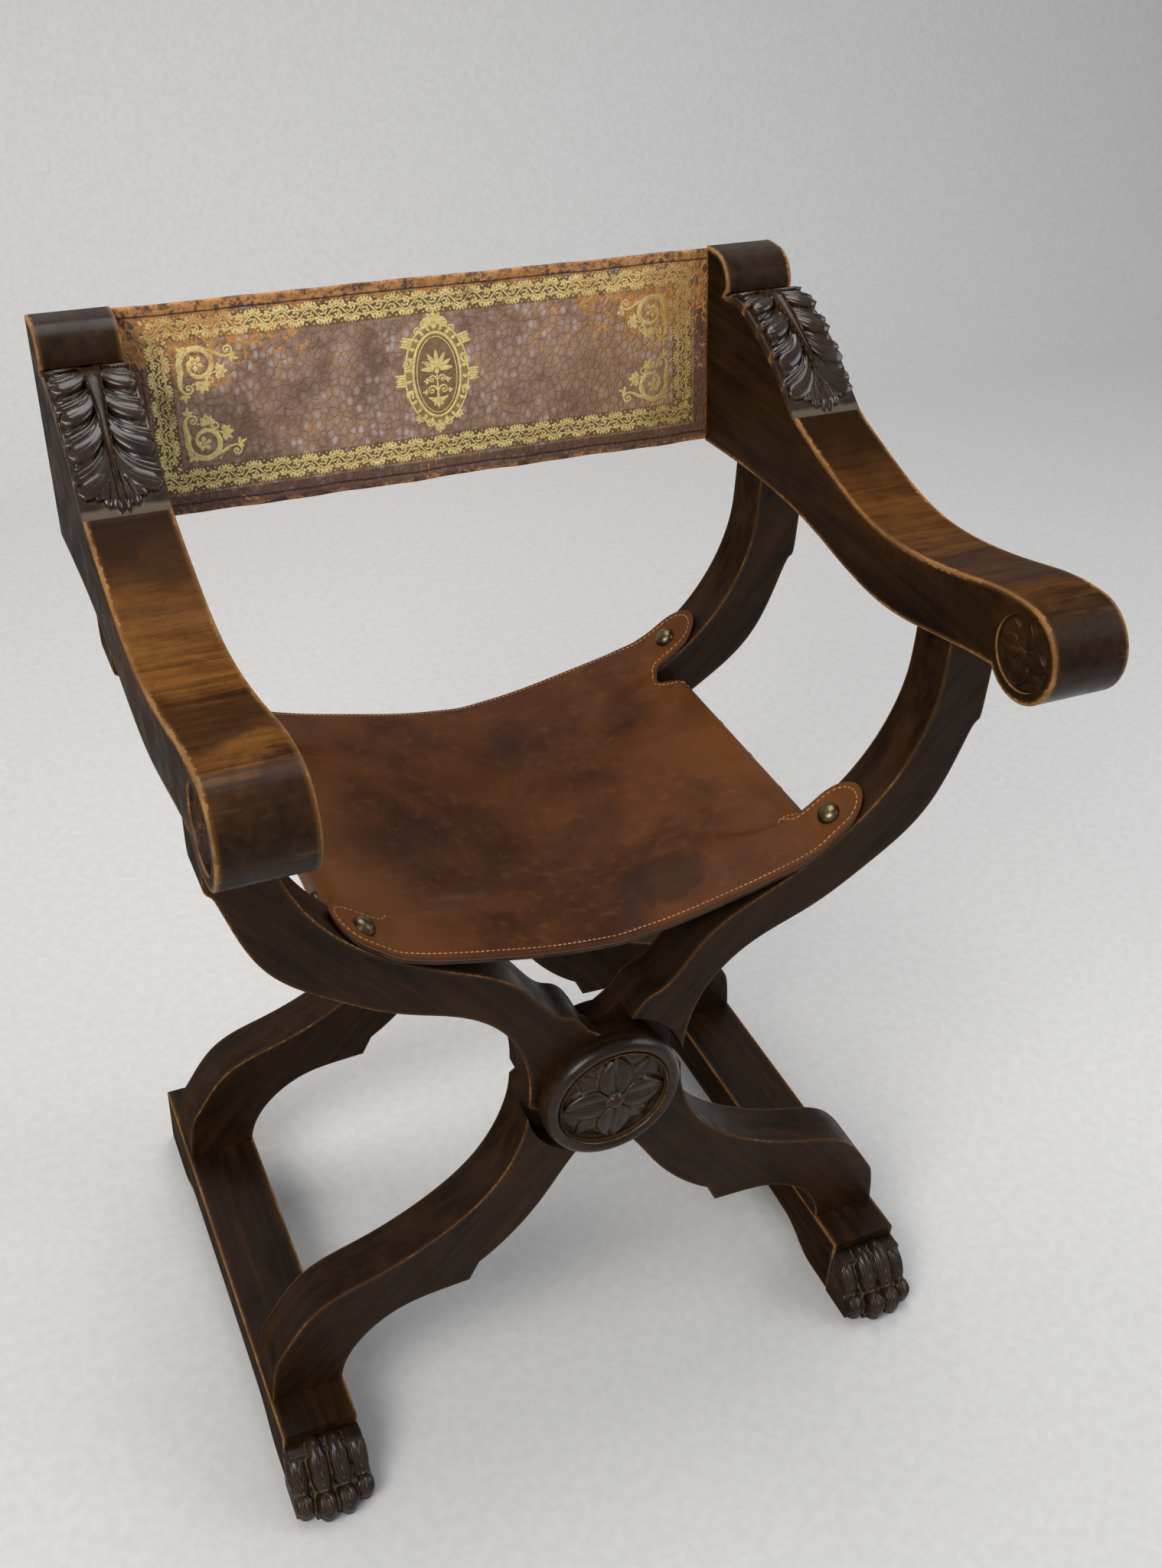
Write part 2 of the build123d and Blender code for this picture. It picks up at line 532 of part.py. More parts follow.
def petal(width, rise):
    """Pointed petal from the knob to the edge of the roundel's field."""
    tip = (KNOB_RADIUS * 0.6 + PETAL_LENGTH, 0)
    root = (KNOB_RADIUS * 0.6, 0)
    middle = (root[0] + tip[0]) / 2
    outline = make_face([
        ThreePointArc(root, (middle, -width / 2), tip),
        ThreePointArc(tip, (middle, width / 2), root),
    ])
    return Pos(0, 0, ROUNDEL_FIELD) * extrude(outline, rise, dir=(0, 0, 1), taper=20)


def hub_roundel(outer_y, inner_y):
    """Roundel set on the outer face of a frame."""
    facing = -90 if outer_y > inner_y else 90
    return Pos(0, outer_y, HUB_Z) * Rot(facing, 0, 0) * roundel()


# ---- nails -------------------------------------------------------------
def nail(place, leather):
    """Dome-headed nail at a point on the wood, driven against a direction."""
    point, outward, radius = place
    rise = radius * NAIL_RISE * 2
    dome = make_face(Polyline((0, 0), (radius, 0), (radius * 0.93, rise * 0.3), (radius * 0.66, rise * 0.74),
                              (radius * 0.3, rise * 0.97), (0, rise), close=True))
    head = Pos(0, 0, leather) * revolve(Plane.XZ * dome, Axis.Z)
    shank = Pos(0, 0, (leather - SHANK_LENGTH) / 2) * Box(SHANK_SIDE, SHANK_SIDE, leather + SHANK_LENGTH)
    return Plane(origin=point, z_dir=outward) * (head + shank)


def shank_hole(place, leather):
    """Square hole for a nail's shank through leather and into the wood."""
    point, outward, radius = place
    depth = SHANK_LENGTH + BLIND_SPACE
    side = SHANK_SIDE + 2 * SHANK_GAP
    hole = Pos(0, 0, (leather - depth) / 2) * Box(side, side, leather + depth)
    return Plane(origin=point, z_dir=outward) * hole


def tab_nail_place(frame_mid_y):
    """Where a seat tab is nailed to the right upper member of a frame."""
    point, normal = inner_edge_at(TAB_NAIL_X)
    return (point[0], frame_mid_y, point[1]), (normal[0], 0, normal[1]), SEAT_NAIL_RADIUS


def side_nail_places():
    """Nails through the leather into the outer face of the right rail."""
    mid_z = RAIL_TOP_Z - RAIL_HEIGHT / 2
    return [((RAIL_OUTER_X, MID_Y + (i - (SIDE_NAIL_COUNT - 1) / 2) * SIDE_NAIL_SPACING, mid_z),
             (1, 0, 0), SEAT_NAIL_RADIUS) for i in range(SIDE_NAIL_COUNT)]


def back_nail_places():
    """Nails through the back leather into the rear face of the right arm."""
    lean = radians(RECLINE)
    middle = POST_HEIGHT / 2 / cos(lean)
    places = []
    for i in range(BACK_NAIL_COUNT):
        along = middle + (i - (BACK_NAIL_COUNT - 1) / 2) * BACK_NAIL_SPACING
        point = ((ARM_INNER_X + ARM_OUTER_X) / 2, BACK_FOOT_Y + along * sin(lean), ARM_UNDER_Z + along * cos(lean))
        places.append((point, (0, cos(lean), -sin(lean)), BACK_NAIL_RADIUS))
    return places


def right_seat_nails():
    tab_places = [tab_nail_place(FRONT_MID_Y), tab_nail_place(REAR_MID_Y)]
    tab_thickness = SEAT_THICKNESS * tab_places[0][1][2]
    nails = [nail(place, SEAT_THICKNESS + RUNNING_GAP) for place in side_nail_places()]
    return nails + [nail(place, tab_thickness + 2 * RUNNING_GAP) for place in tab_places]


def right_back_nails():
    return [nail(place, BACK_LEATHER + RUNNING_GAP) for place in back_nail_places()]


# ---- leather -----------------------------------------------------------
def inner_edge():
    """Inner edge of the right upper member, in X and Z."""
    notch = (NOTCH_X, HUB_Z + NOTCH_RISE)
    top_inner = (TOP_INNER_X, ARM_UNDER_Z)
    points = placed(notch, top_inner, UPPER_INNER_CURVE)
    return Spline(notch, *points, top_inner, tangents=[(0.5, 1), (0, 1)])


def inner_edge_at(x):
    """Point on the inner edge at an X position, and the normal away from the wood."""
    edge = inner_edge()
    low, high = 0.0, 1.0
    for _ in range(40):
        half = (low + high) / 2
        low, high = (half, high) if (edge @ half).X < x else (low, half)
    point = edge @ half
    along = edge % half
    return (point.X, point.Y), (-along.Y, along.X)


def sling_section(y, end_z, sag, top, bottom):
    """Cross-section of the sling at one Y: a band hanging between its two ends."""
    shape = [(-1, 0), (-0.6, 0.5), (-0.25, 0.86), (0, 1), (0.25, 0.86), (0.6, 0.5), (1, 0)]
    line = [(SLING_HALF_WIDTH * u, end_z - sag * v) for u, v in shape]
    outline = [(x, z + top) for x, z in line] + [(x, z + bottom) for x, z in reversed(line)]
    return Pos(0, y, 0) * (Plane.XZ * make_face(Polyline(*outline, close=True)))


def seat_layer(bottom, top):
    """One layer of the seat: sling, wraps over the rails and tabs over the members.

    Heights are counted from the face of the wood.
    """
    tab_z = inner_edge_at(SLING_HALF_WIDTH)[0][1]
    slit_front_y = FRONT_BACK_Y + WRAP_MARGIN
    slit_rear_y = REAR_INNER_Y - WRAP_MARGIN
    stations = [(FRONT_FRAME_Y - SEAT_OVERHANG, tab_z, SEAT_EDGE_SAG), (FRONT_BACK_Y, tab_z, SEAT_EDGE_SAG),
                (slit_front_y, RAIL_TOP_Z, SEAT_SAG), (MID_Y, RAIL_TOP_Z, SEAT_SAG + SEAT_DIP),
                (slit_rear_y, RAIL_TOP_Z, SEAT_SAG), (REAR_INNER_Y, tab_z, SEAT_EDGE_SAG),
                (REAR_FRAME_Y + SEAT_OVERHANG, tab_z, SEAT_EDGE_SAG)]
    layer = loft([sling_section(*station, top, bottom) for station in stations], ruled=True)
    side = rail_wrap(top, bottom) + member_tab(FRONT_MID_Y, top, bottom) + member_tab(REAR_MID_Y, top, bottom)
    layer += side
    layer += flip_x(side)
    for place in side_nail_places() + [tab_nail_place(FRONT_MID_Y), tab_nail_place(REAR_MID_Y)]:
        hole = shank_hole(place, 2 * SEAT_THICKNESS)
        layer -= hole
        layer -= flip_x(hole)
    return layer


def rail_wrap(top, bottom):
    """Leather over the right rail and down its outer face."""
    start_x = SLING_HALF_WIDTH
    turn_x = RAIL_OUTER_X - RAIL_ROUND
    turn_z = RAIL_TOP_Z - RAIL_ROUND
    hem_z = RAIL_TOP_Z - WRAP_DEPTH
    outer_x, inner_x = RAIL_OUTER_X + top, RAIL_OUTER_X + bottom
    section = make_face([
        Line((start_x, RAIL_TOP_Z + top), (turn_x, RAIL_TOP_Z + top)),
        RadiusArc((turn_x, RAIL_TOP_Z + top), (outer_x, turn_z), RAIL_ROUND + top),
        Line((outer_x, turn_z), (outer_x, hem_z)),
        Line((outer_x, hem_z), (inner_x, hem_z)),
        Line((inner_x, hem_z), (inner_x, turn_z)),
        RadiusArc((inner_x, turn_z), (turn_x, RAIL_TOP_Z + bottom), -(RAIL_ROUND + bottom)),
        Line((turn_x, RAIL_TOP_Z + bottom), (start_x, RAIL_TOP_Z + bottom)),
        Line((start_x, RAIL_TOP_Z + bottom), (start_x, RAIL_TOP_Z + top)),
    ])
    return prism_y(section, FRONT_BACK_Y + WRAP_MARGIN, REAR_INNER_Y - WRAP_MARGIN)


def member_tab(frame_mid_y, top, bottom):
    """Round-ended tab that lies along the inner edge of a member."""
    tip_x = TAB_NAIL_X + TAB_REACH
    steps = 6
    start_x = SLING_HALF_WIDTH
    line = [inner_edge_at(start_x + (tip_x - start_x) * i / steps)[0] for i in range(steps + 1)]
    half = FRAME_THICKNESS / 2
    outline = Polyline(*[(x, z + top) for x, z in line], *[(x, z + bottom) for x, z in reversed(line)], close=True)
    band = prism_y(make_face(outline), frame_mid_y - half, frame_mid_y + half)
    plan = Pos(SLING_HALF_WIDTH, frame_mid_y) * Rectangle(2 * (TAB_NAIL_X - SLING_HALF_WIDTH), FRAME_THICKNESS)
    plan += Pos(TAB_NAIL_X, frame_mid_y) * Ellipse(TAB_REACH, half)
    return band & Pos(0, 0, HUB_Z) * extrude(plan, ARM_TOP_Z - HUB_Z)


def back_leather():
    """Panel nailed across the rear faces of both arms."""
    lean = radians(RECLINE)
    length = POST_HEIGHT / cos(lean)
    half_x = ARM_OUTER_X - BACK_LEATHER_INSET
    panel = block(-half_x, half_x, RUNNING_GAP, BACK_LEATHER, BACK_LEATHER_FOOT_MARGIN,
                  length - BACK_LEATHER_TOP_MARGIN)
    panel = Pos(0, BACK_FOOT_Y, ARM_UNDER_Z) * Rot(-RECLINE, 0, 0) * panel
    for place in back_nail_places():
        panel -= shank_hole(place, 2 * BACK_LEATHER)
        panel -= flip_x(shank_hole(place, 2 * BACK_LEATHER))
    return panel


# ---- the pieces ----------------------------------------------------------
def as_group(shapes):
    """Several separate solids kept under one name."""
    return Compound(children=list(shapes))


frames = {"front": (FRONT_FRAME_Y, FRONT_BACK_Y), "rear": (REAR_FRAME_Y, REAR_INNER_Y)}
pieces = {
    "right_arm": right_arm(),
    "right_seat_rail": right_seat_rail(),
    "right_runner": right_runner(),
    "right_paw": right_paw(),
    "right_paw_dowels": as_group(right_paw_dowels()),
    "right_seat_nails": as_group(right_seat_nails()),
    "right_back_nails": as_group(right_back_nails()),
}
pieces.update({name.replace("right", "left"): flip_x(piece) for name, piece in pieces.items()})
for place, (outer_y, inner_y) in frames.items():
    pieces[place + "_member_a"] = member(outer_y, inner_y, keeps_outer=True)
    pieces[place + "_member_b"] = flip_x(member(outer_y, inner_y, keeps_outer=False))
    pieces[place + "_pivot_pin"] = pivot_pin(outer_y, inner_y)
    pieces[place + "_roundel"] = hub_roundel(outer_y, inner_y)
pieces["seat_leather"] = seat_layer(SEAT_LINING + LEATHER_GAP, SEAT_THICKNESS)
pieces["seat_lining"] = seat_layer(RUNNING_GAP, SEAT_LINING)
pieces["back_leather"] = back_leather()

for name, piece in pieces.items():
    export_step(piece, "parts/" + name + ".step")
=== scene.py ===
from math import atan2, cos, pi, radians, sin

import bmesh
import bpy
import numpy as np
from mathutils import Matrix, Vector
from mathutils.geometry import delaunay_2d_cdt


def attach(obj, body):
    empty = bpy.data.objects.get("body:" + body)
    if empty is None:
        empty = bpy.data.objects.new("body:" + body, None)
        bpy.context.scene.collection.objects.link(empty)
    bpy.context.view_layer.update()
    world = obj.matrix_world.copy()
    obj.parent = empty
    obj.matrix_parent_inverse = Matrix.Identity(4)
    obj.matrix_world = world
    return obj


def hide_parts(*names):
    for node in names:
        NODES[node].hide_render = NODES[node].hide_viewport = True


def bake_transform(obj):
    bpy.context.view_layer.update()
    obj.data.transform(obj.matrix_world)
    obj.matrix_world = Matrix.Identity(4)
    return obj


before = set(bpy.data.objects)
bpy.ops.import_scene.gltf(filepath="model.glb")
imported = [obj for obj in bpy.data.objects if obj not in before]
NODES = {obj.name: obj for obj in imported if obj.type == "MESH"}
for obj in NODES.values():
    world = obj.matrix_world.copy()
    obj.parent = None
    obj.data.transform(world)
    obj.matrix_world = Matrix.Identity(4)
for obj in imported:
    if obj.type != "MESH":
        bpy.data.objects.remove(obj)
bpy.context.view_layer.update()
ROOT, CHILD = "left_arm_frame", "right_arm_frame"

# Sizes of the chair in millimetres, as in the CAD model.
HUB_Z = 341.0
FRAMES = {"front": (-156.5, -110.5), "rear": (195.5, 149.5)}      # outer and inner face
ARM_INNER, ARM_OUTER = 267.0, 333.0
SCROLL = (-243.3, 762.5)
LEAF_BASE, LEAF_UPPER = np.array([91.0, 806.0]), np.array([235.4, 867.0])
LEAF_SWELL = [(0, 0), (0.14, 0.045), (0.36, 0.128), (0.64, 0.166), (0.84, 0.147), (1, 0)]
RUNNER_INNER, RUNNER_OUTER = 244.0, 311.0
RAIL_OUTER_X, RAIL_WIDTH, RAIL_TOP = 203.0, 24.0, 526.0
RECLINE = radians(9.3)
BACK_FOOT = (247.0, 723.5)

UNWORN = 12.0           # distance from an arris at which no wear shows
ALONG_Y = (0, 0, pi / 2)        # rotation that brings grain along Y onto local X


# ---- mesh helpers ----------------------------------------------------------
def shade(mesh, sharp=None):
    """Smooth shading, with sharp edges above an angle in degrees."""
    mesh.polygons.foreach_set("use_smooth", np.ones(len(mesh.polygons), bool))
    if sharp is not None:
        mesh.set_sharp_from_angle(angle=radians(sharp))


def settle(mesh):
    """Joins doubled points and turns the faces of every closed form outwards."""
    work = bmesh.new()
    work.from_mesh(mesh)
    bmesh.ops.remove_doubles(work, verts=work.verts, dist=1e-6)
    bmesh.ops.recalc_face_normals(work, faces=work.faces)
    work.to_mesh(mesh)
    work.free()
    mesh.update()


def put_attribute(mesh, key, values):
    layer = mesh.attributes.get(key) or mesh.attributes.new(key, "FLOAT", "POINT")
    layer.data.foreach_set("value", np.asarray(values, np.float32))


def add_object(name, data):
    made = bpy.data.objects.new(name, data)
    bpy.context.scene.collection.objects.link(made)
    return made


def mesh_piece(name, verts, faces, attrs=None, sharp=None, closed=True):
    """New object from points in millimetres and a list of faces."""
    mesh = bpy.data.meshes.new(name)
    mesh.from_pydata((np.asarray(verts, float) * 0.001).tolist(), [], faces)
    mesh.update()
    for key, values in (attrs or {}).items():
        put_attribute(mesh, key, values)
    if closed:
        settle(mesh)
    shade(mesh, sharp)
    return add_object(name, mesh)


def grid_faces(rows, cols, wrap=False, flip=False):
    """Quads over rows x cols points; wrap joins the last column to the first."""
    i, j = np.meshgrid(np.arange(rows - 1), np.arange(cols if wrap else cols - 1), indexing="ij")
    after = (j + 1) % cols
    quads = np.stack([i * cols + j, (i + 1) * cols + j, (i + 1) * cols + after, i * cols + after], -1)
    quads = quads.reshape(-1, 4)
    return (quads[:, ::-1] if flip else quads).tolist()


def fan_faces(tip, first, count, flip=False):
    """Triangles between one point and a closed ring of points."""
    faces = [[tip, first + i, first + (i + 1) % count] for i in range(count)]
    return [f[::-1] for f in faces] if flip else faces


class Build:
    """Collects points, faces and attributes of one mesh."""

    def __init__(self):
        self.verts, self.faces, self.attrs = [], [], {}
        self.count = 0

    def add(self, verts, faces, **attrs):
        """Adds points with faces that count from the first of them; returns its number."""
        verts = np.asarray(verts, float).reshape(-1, 3)
        for key in set(self.attrs) | set(attrs):
            have = self.attrs.setdefault(key, [np.zeros(self.count)] if self.count else [])
            have.append(np.broadcast_to(np.asarray(attrs.get(key, 0.0), float), len(verts)).copy())
        start = self.count
        self.verts.append(verts)
        self.faces += [[v + start for v in f] for f in faces]
        self.count += len(verts)
        return start

    def piece(self, name, sharp=None, closed=True):
        attrs = {key: np.concatenate(values) for key, values in self.attrs.items()}
        return mesh_piece(name, np.concatenate(self.verts), self.faces, attrs, sharp, closed)


def circle(count):
    """Angles spaced evenly round a circle."""
    return np.linspace(0, 2 * pi, count, endpoint=False)


def loop_area(loop):
    """Area in a closed loop, positive if it runs counter-clockwise."""
    return 0.5 * np.sum(loop[:, 0] * np.roll(loop[:, 1], -1) - loop[:, 1] * np.roll(loop[:, 0], -1))


def node_loops(node, axis, value):
    """Outlines of a node's flat face at a place on an axis, in millimetres, longest first."""
    mesh = NODES[node].data
    mesh.calc_loop_triangles()
    co = read(mesh, "co") * 1000
    keys, ids = np.unique(np.round(co * 100).astype(np.int64), axis=0, return_inverse=True)
    ids = ids.ravel()
    points = np.zeros((len(keys), 3))
    points[ids] = co
    tri = np.array([ids[list(t.vertices)] for t in mesh.loop_triangles])
    flat = np.all(np.abs(points[tri][:, :, axis] - value) < 0.02, axis=1)
    edges = set()
    for t in tri[flat]:
        for a, b in ((t[0], t[1]), (t[1], t[2]), (t[2], t[0])):
            if (b, a) in edges:
                edges.discard((b, a))
            else:
                edges.add((a, b))
    after = dict(sorted(edges))
    loops = []
    while after:
        first = min(after)
        loop, here = [first], after.pop(first)
        while here != first and here in after:
            loop.append(here)
            here = after.pop(here)
        loops.append(np.delete(points[loop], axis, 1))
    return sorted(loops, key=lambda l: -np.ptp(l, axis=0).sum())


def hermite(points, per=8):
    """Dense smooth curve through open points."""
    points = np.asarray(points, float)
    if len(points) < 3:
        return points
    gaps = np.maximum(np.hypot(*np.diff(points, axis=0).T), 1e-9)[:, None]
    slopes = np.diff(points, axis=0) / gaps
    inner = (slopes[:-1] * gaps[1:] + slopes[1:] * gaps[:-1]) / (gaps[:-1] + gaps[1:])
    first, last = 1.5 * slopes[0] - 0.5 * inner[0], 1.5 * slopes[-1] - 0.5 * inner[-1]
    tangents = np.vstack([first, inner, last])
    t = np.linspace(0, 1, per, endpoint=False)[None, :, None]
    p0, p1 = points[:-1, None], points[1:, None]
    m0, m1 = tangents[:-1, None] * gaps[:, None], tangents[1:, None] * gaps[:, None]
    dense = ((2 * t**3 - 3 * t**2 + 1) * p0 + (t**3 - 2 * t**2 + t) * m0
             + (3 * t**2 - 2 * t**3) * p1 + (t**3 - t**2) * m1).reshape(-1, 2)
    return np.vstack([dense, points[-1]])


def travelled(points):
    """Length of a curve up to each of its points."""
    return np.concatenate([[0], np.cumsum(np.hypot(*np.diff(points, axis=0).T))])


def even(points, pitch):
    """Open curve with evenly spaced points."""
    run = travelled(points)
    at = np.linspace(0, run[-1], max(1, int(round(run[-1] / pitch))) + 1)
    return np.stack([np.interp(at, run, points[:, k]) for k in (0, 1)], -1)


def smooth_loop(points, pitch, corner=14.0):
    """Closed loop, curved between its corners and evenly spaced, counter-clockwise."""
    points = np.asarray(points, float)
    if loop_area(points) < 0:
        points = points[::-1]
    run = np.roll(points, -1, 0) - points
    heading = np.arctan2(run[:, 1], run[:, 0])
    turn = (heading - np.roll(heading, 1) + pi) % (2 * pi) - pi
    corners = np.flatnonzero(np.abs(turn) > radians(corner))
    out = []
    for a, b in zip(corners, np.roll(corners, -1)):
        span = points[np.arange(a, b + 1 if b > a else b + len(points) + 1) % len(points)]
        out.append(even(hermite(span), pitch)[:-1])
    return np.vstack(out)


def inward(loop):
    """Mitred inward directions of a counter-clockwise loop."""
    run = np.roll(loop, -1, 0) - loop
    run /= np.maximum(np.hypot(*run.T), 1e-9)[:, None]
    left = np.stack([-run[:, 1], run[:, 0]], -1)
    before = np.roll(left, 1, 0)
    both = (left + before) / (1 + np.sum(left * before, 1)).clip(0.5)[:, None]
    length = np.hypot(*both.T)
    return both * np.minimum(1, 1.5 / np.maximum(length, 1e-9))[:, None]


def inside(points, loop):
    """True for each point inside a closed loop."""
    a, b = loop, np.roll(loop, -1, 0)
    rise = np.where(b[:, 1] == a[:, 1], 1e-9, b[:, 1] - a[:, 1])
    out = np.zeros(len(points), bool)
    for i in range(0, len(points), 4000):
        x, y = points[i:i + 4000, 0, None], points[i:i + 4000, 1, None]
        crosses = (a[:, 1] > y) != (b[:, 1] > y)
        right = a[:, 0] + (y - a[:, 1]) * (b[:, 0] - a[:, 0]) / rise > x
        out[i:i + 4000] = np.sum(crosses & right, 1) % 2 == 1
    return out


def distance_to_loop(points, loop):
    """Distance from each 2-D point to a closed loop."""
    run = np.roll(loop, -1, 0) - loop
    length = np.maximum((run**2).sum(1), 1e-9)
    best = np.full(len(points), 1e9)
    for i in range(0, len(points), 4000):
        p = points[i:i + 4000, None] - loop[None]
        t = np.clip((p * run[None]).sum(2) / length[None], 0, 1)
        best[i:i + 4000] = np.hypot(*(p - t[..., None] * run[None]).transpose(2, 0, 1)).min(1)
    return best


def triangulate(loops, loose=()):
    """Triangles over closed loops and loose points, and the inputs of each point."""
    points, edges = [], []
    for loop in loops:
        first, count = len(points), len(loop)
        points += [Vector(p) for p in loop]
        edges += [(first + i, first + (i + 1) % count) for i in range(count)]
    points += [Vector(p) for p in loose]
    out, _, faces, origin, _, _ = delaunay_2d_cdt(points, edges, [], 1, 1e-6)
    return np.array([tuple(v) for v in out]), [list(f) for f in faces], origin


def on_y(a, b, w):
    return np.stack([a, w, b], -1)


def on_x(a, b, w):
    return np.stack([w, a, b], -1)


def prism(build, loop, low, high, place, bevel=1.0, rings=(0.8, 2.2, 5.0), holes=None):
    """Solid with softly rounded arrises: a loop carried from low to high.

    place(a, b, w) turns loop coordinates and depth into points. holes maps an end, 0 or 1,
    to the rim at which another surface closes it.
    """
    n, turn_in, depth = len(loop), inward(loop), high - low
    rows = [(r + bevel, 0.0, r) for r in rings[::-1]] + [(bevel, 0.0, 0.0)]
    rows += [(bevel * (1 - sin(a)), bevel * (1 - cos(a)), 0.0) for a in (pi / 6, pi / 3)]
    rows += [(0.0, bevel, 0.0)] + [(0.0, bevel + r, r) for r in rings]
    columns = rows + [(0.0, depth / 2, depth / 2)] + [(i, depth - w, e) for i, w, e in reversed(rows)]
    flats = [loop + turn_in * inset for inset, _, _ in columns]
    points = [place(f[:, 0], f[:, 1], np.full(n, low + w)) for f, (_, w, _) in zip(flats, columns)]
    edge = np.repeat([e for _, _, e in columns], n)
    start = build.add(points, grid_faces(len(columns), n, wrap=True), edge=edge)
    for end, row, w in ((0, 0, low), (1, len(columns) - 1, high)):
        rims = [holes[end]] if holes else []
        co, faces, origin = triangulate([flats[row], *rims])
        middles = np.array([co[f].mean(0) for f in faces])
        open_here = inside(middles, rims[0]) if rims else np.zeros(len(faces), bool)
        # Points of the outline keep their numbers; only the rim's points are new.
        own = [next((s for s in source if s < n), None) for source in origin]
        new = [i for i, s in enumerate(own) if s is None]
        number = {i: start + row * n + s for i, s in enumerate(own) if s is not None}
        if new:
            base = build.add(place(co[new, 0], co[new, 1], np.full(len(new), w)), [], edge=UNWORN)
            number.update({i: base + k for k, i in enumerate(new)})
        for face in (f for f, gone in zip(faces, open_here) if not gone):
            build.faces.append([number[v] for v in (face if end else face[::-1])])


def bake(piece):
    """Puts the result of a piece's modifiers in place of its mesh."""
    bpy.context.view_layer.update()
    graph = bpy.context.evaluated_depsgraph_get()
    made = bpy.data.meshes.new_from_object(piece.evaluated_get(graph), depsgraph=graph)
    piece.modifiers.clear()
    old, piece.data = piece.data, made
    bpy.data.meshes.remove(old)
    made.name = piece.name


def cut_away(piece, cutters):
    """Cuts closed meshes out of a piece and removes them."""
    for cutter in cutters:
        modifier = piece.modifiers.new("cut", "BOOLEAN")
        modifier.operation, modifier.object, modifier.solver = "DIFFERENCE", cutter, "EXACT"
    bake(piece)
    for cutter in cutters:
        bpy.data.objects.remove(cutter)


def read(mesh, key):
    """Places or normals of a mesh's points."""
    out = np.zeros(len(mesh.vertices) * 3, np.float32)
    mesh.vertices.foreach_get(key, out)
    return out.reshape(-1, 3).astype(float)


def coords(piece):
    return read(piece.data, "co") * 1000


def mirror(piece):
    """Turns a piece of the right side into one of the left side."""
    piece.data.transform(Matrix.Diagonal((-1, 1, 1, 1)))
    piece.data.flip_normals()


def cylinder(radius, y_from, y_to, count):
    """Cutter round the hinge line."""
    turn = circle(count)
    verts = [np.stack([radius * np.cos(turn), np.full(count, y), HUB_Z + radius * np.sin(turn)], -1)
             for y in sorted((y_from, y_to))]
    faces = [[i, count + i, count + (i + 1) % count, (i + 1) % count] for i in range(count)]
    faces += [list(range(count)), list(range(2 * count - 1, count - 1, -1))]
    return mesh_piece("cutter", np.concatenate(verts), faces)


def step(value, low, high):
    """Smooth step from 0 to 1."""
    t = np.clip((np.asarray(value, float) - low) / (high - low), 0, 1)
    return t * t * (3 - 2 * t)


def bell(value, width):
    """Smooth hump of height 1 round zero."""
    return np.exp(-(value / width) ** 2)


def set_material(piece, material):
    piece.data.materials.clear()
    piece.data.materials.append(material)


def rigid(piece, body, node, material):
    """Says which body a piece rides and which node it replaces, and dresses it."""
    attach(piece, body)
    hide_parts(node)
    set_material(piece, material)


# ---- materials ---------------------------------------------------------
class Value:
    """Output of a node that takes part in sums."""

    def __init__(self, nodes, socket):
        self.nodes, self.socket = nodes, socket

    def __add__(self, other):
        return self.nodes.math("ADD", self, other)

    def __sub__(self, other):
        return self.nodes.math("SUBTRACT", self, other)

    def __rsub__(self, other):
        return self.nodes.math("SUBTRACT", other, self)

    def __mul__(self, other):
        return self.nodes.math("MULTIPLY", self, other)

    def __truediv__(self, other):
        return self.nodes.math("DIVIDE", self, other)


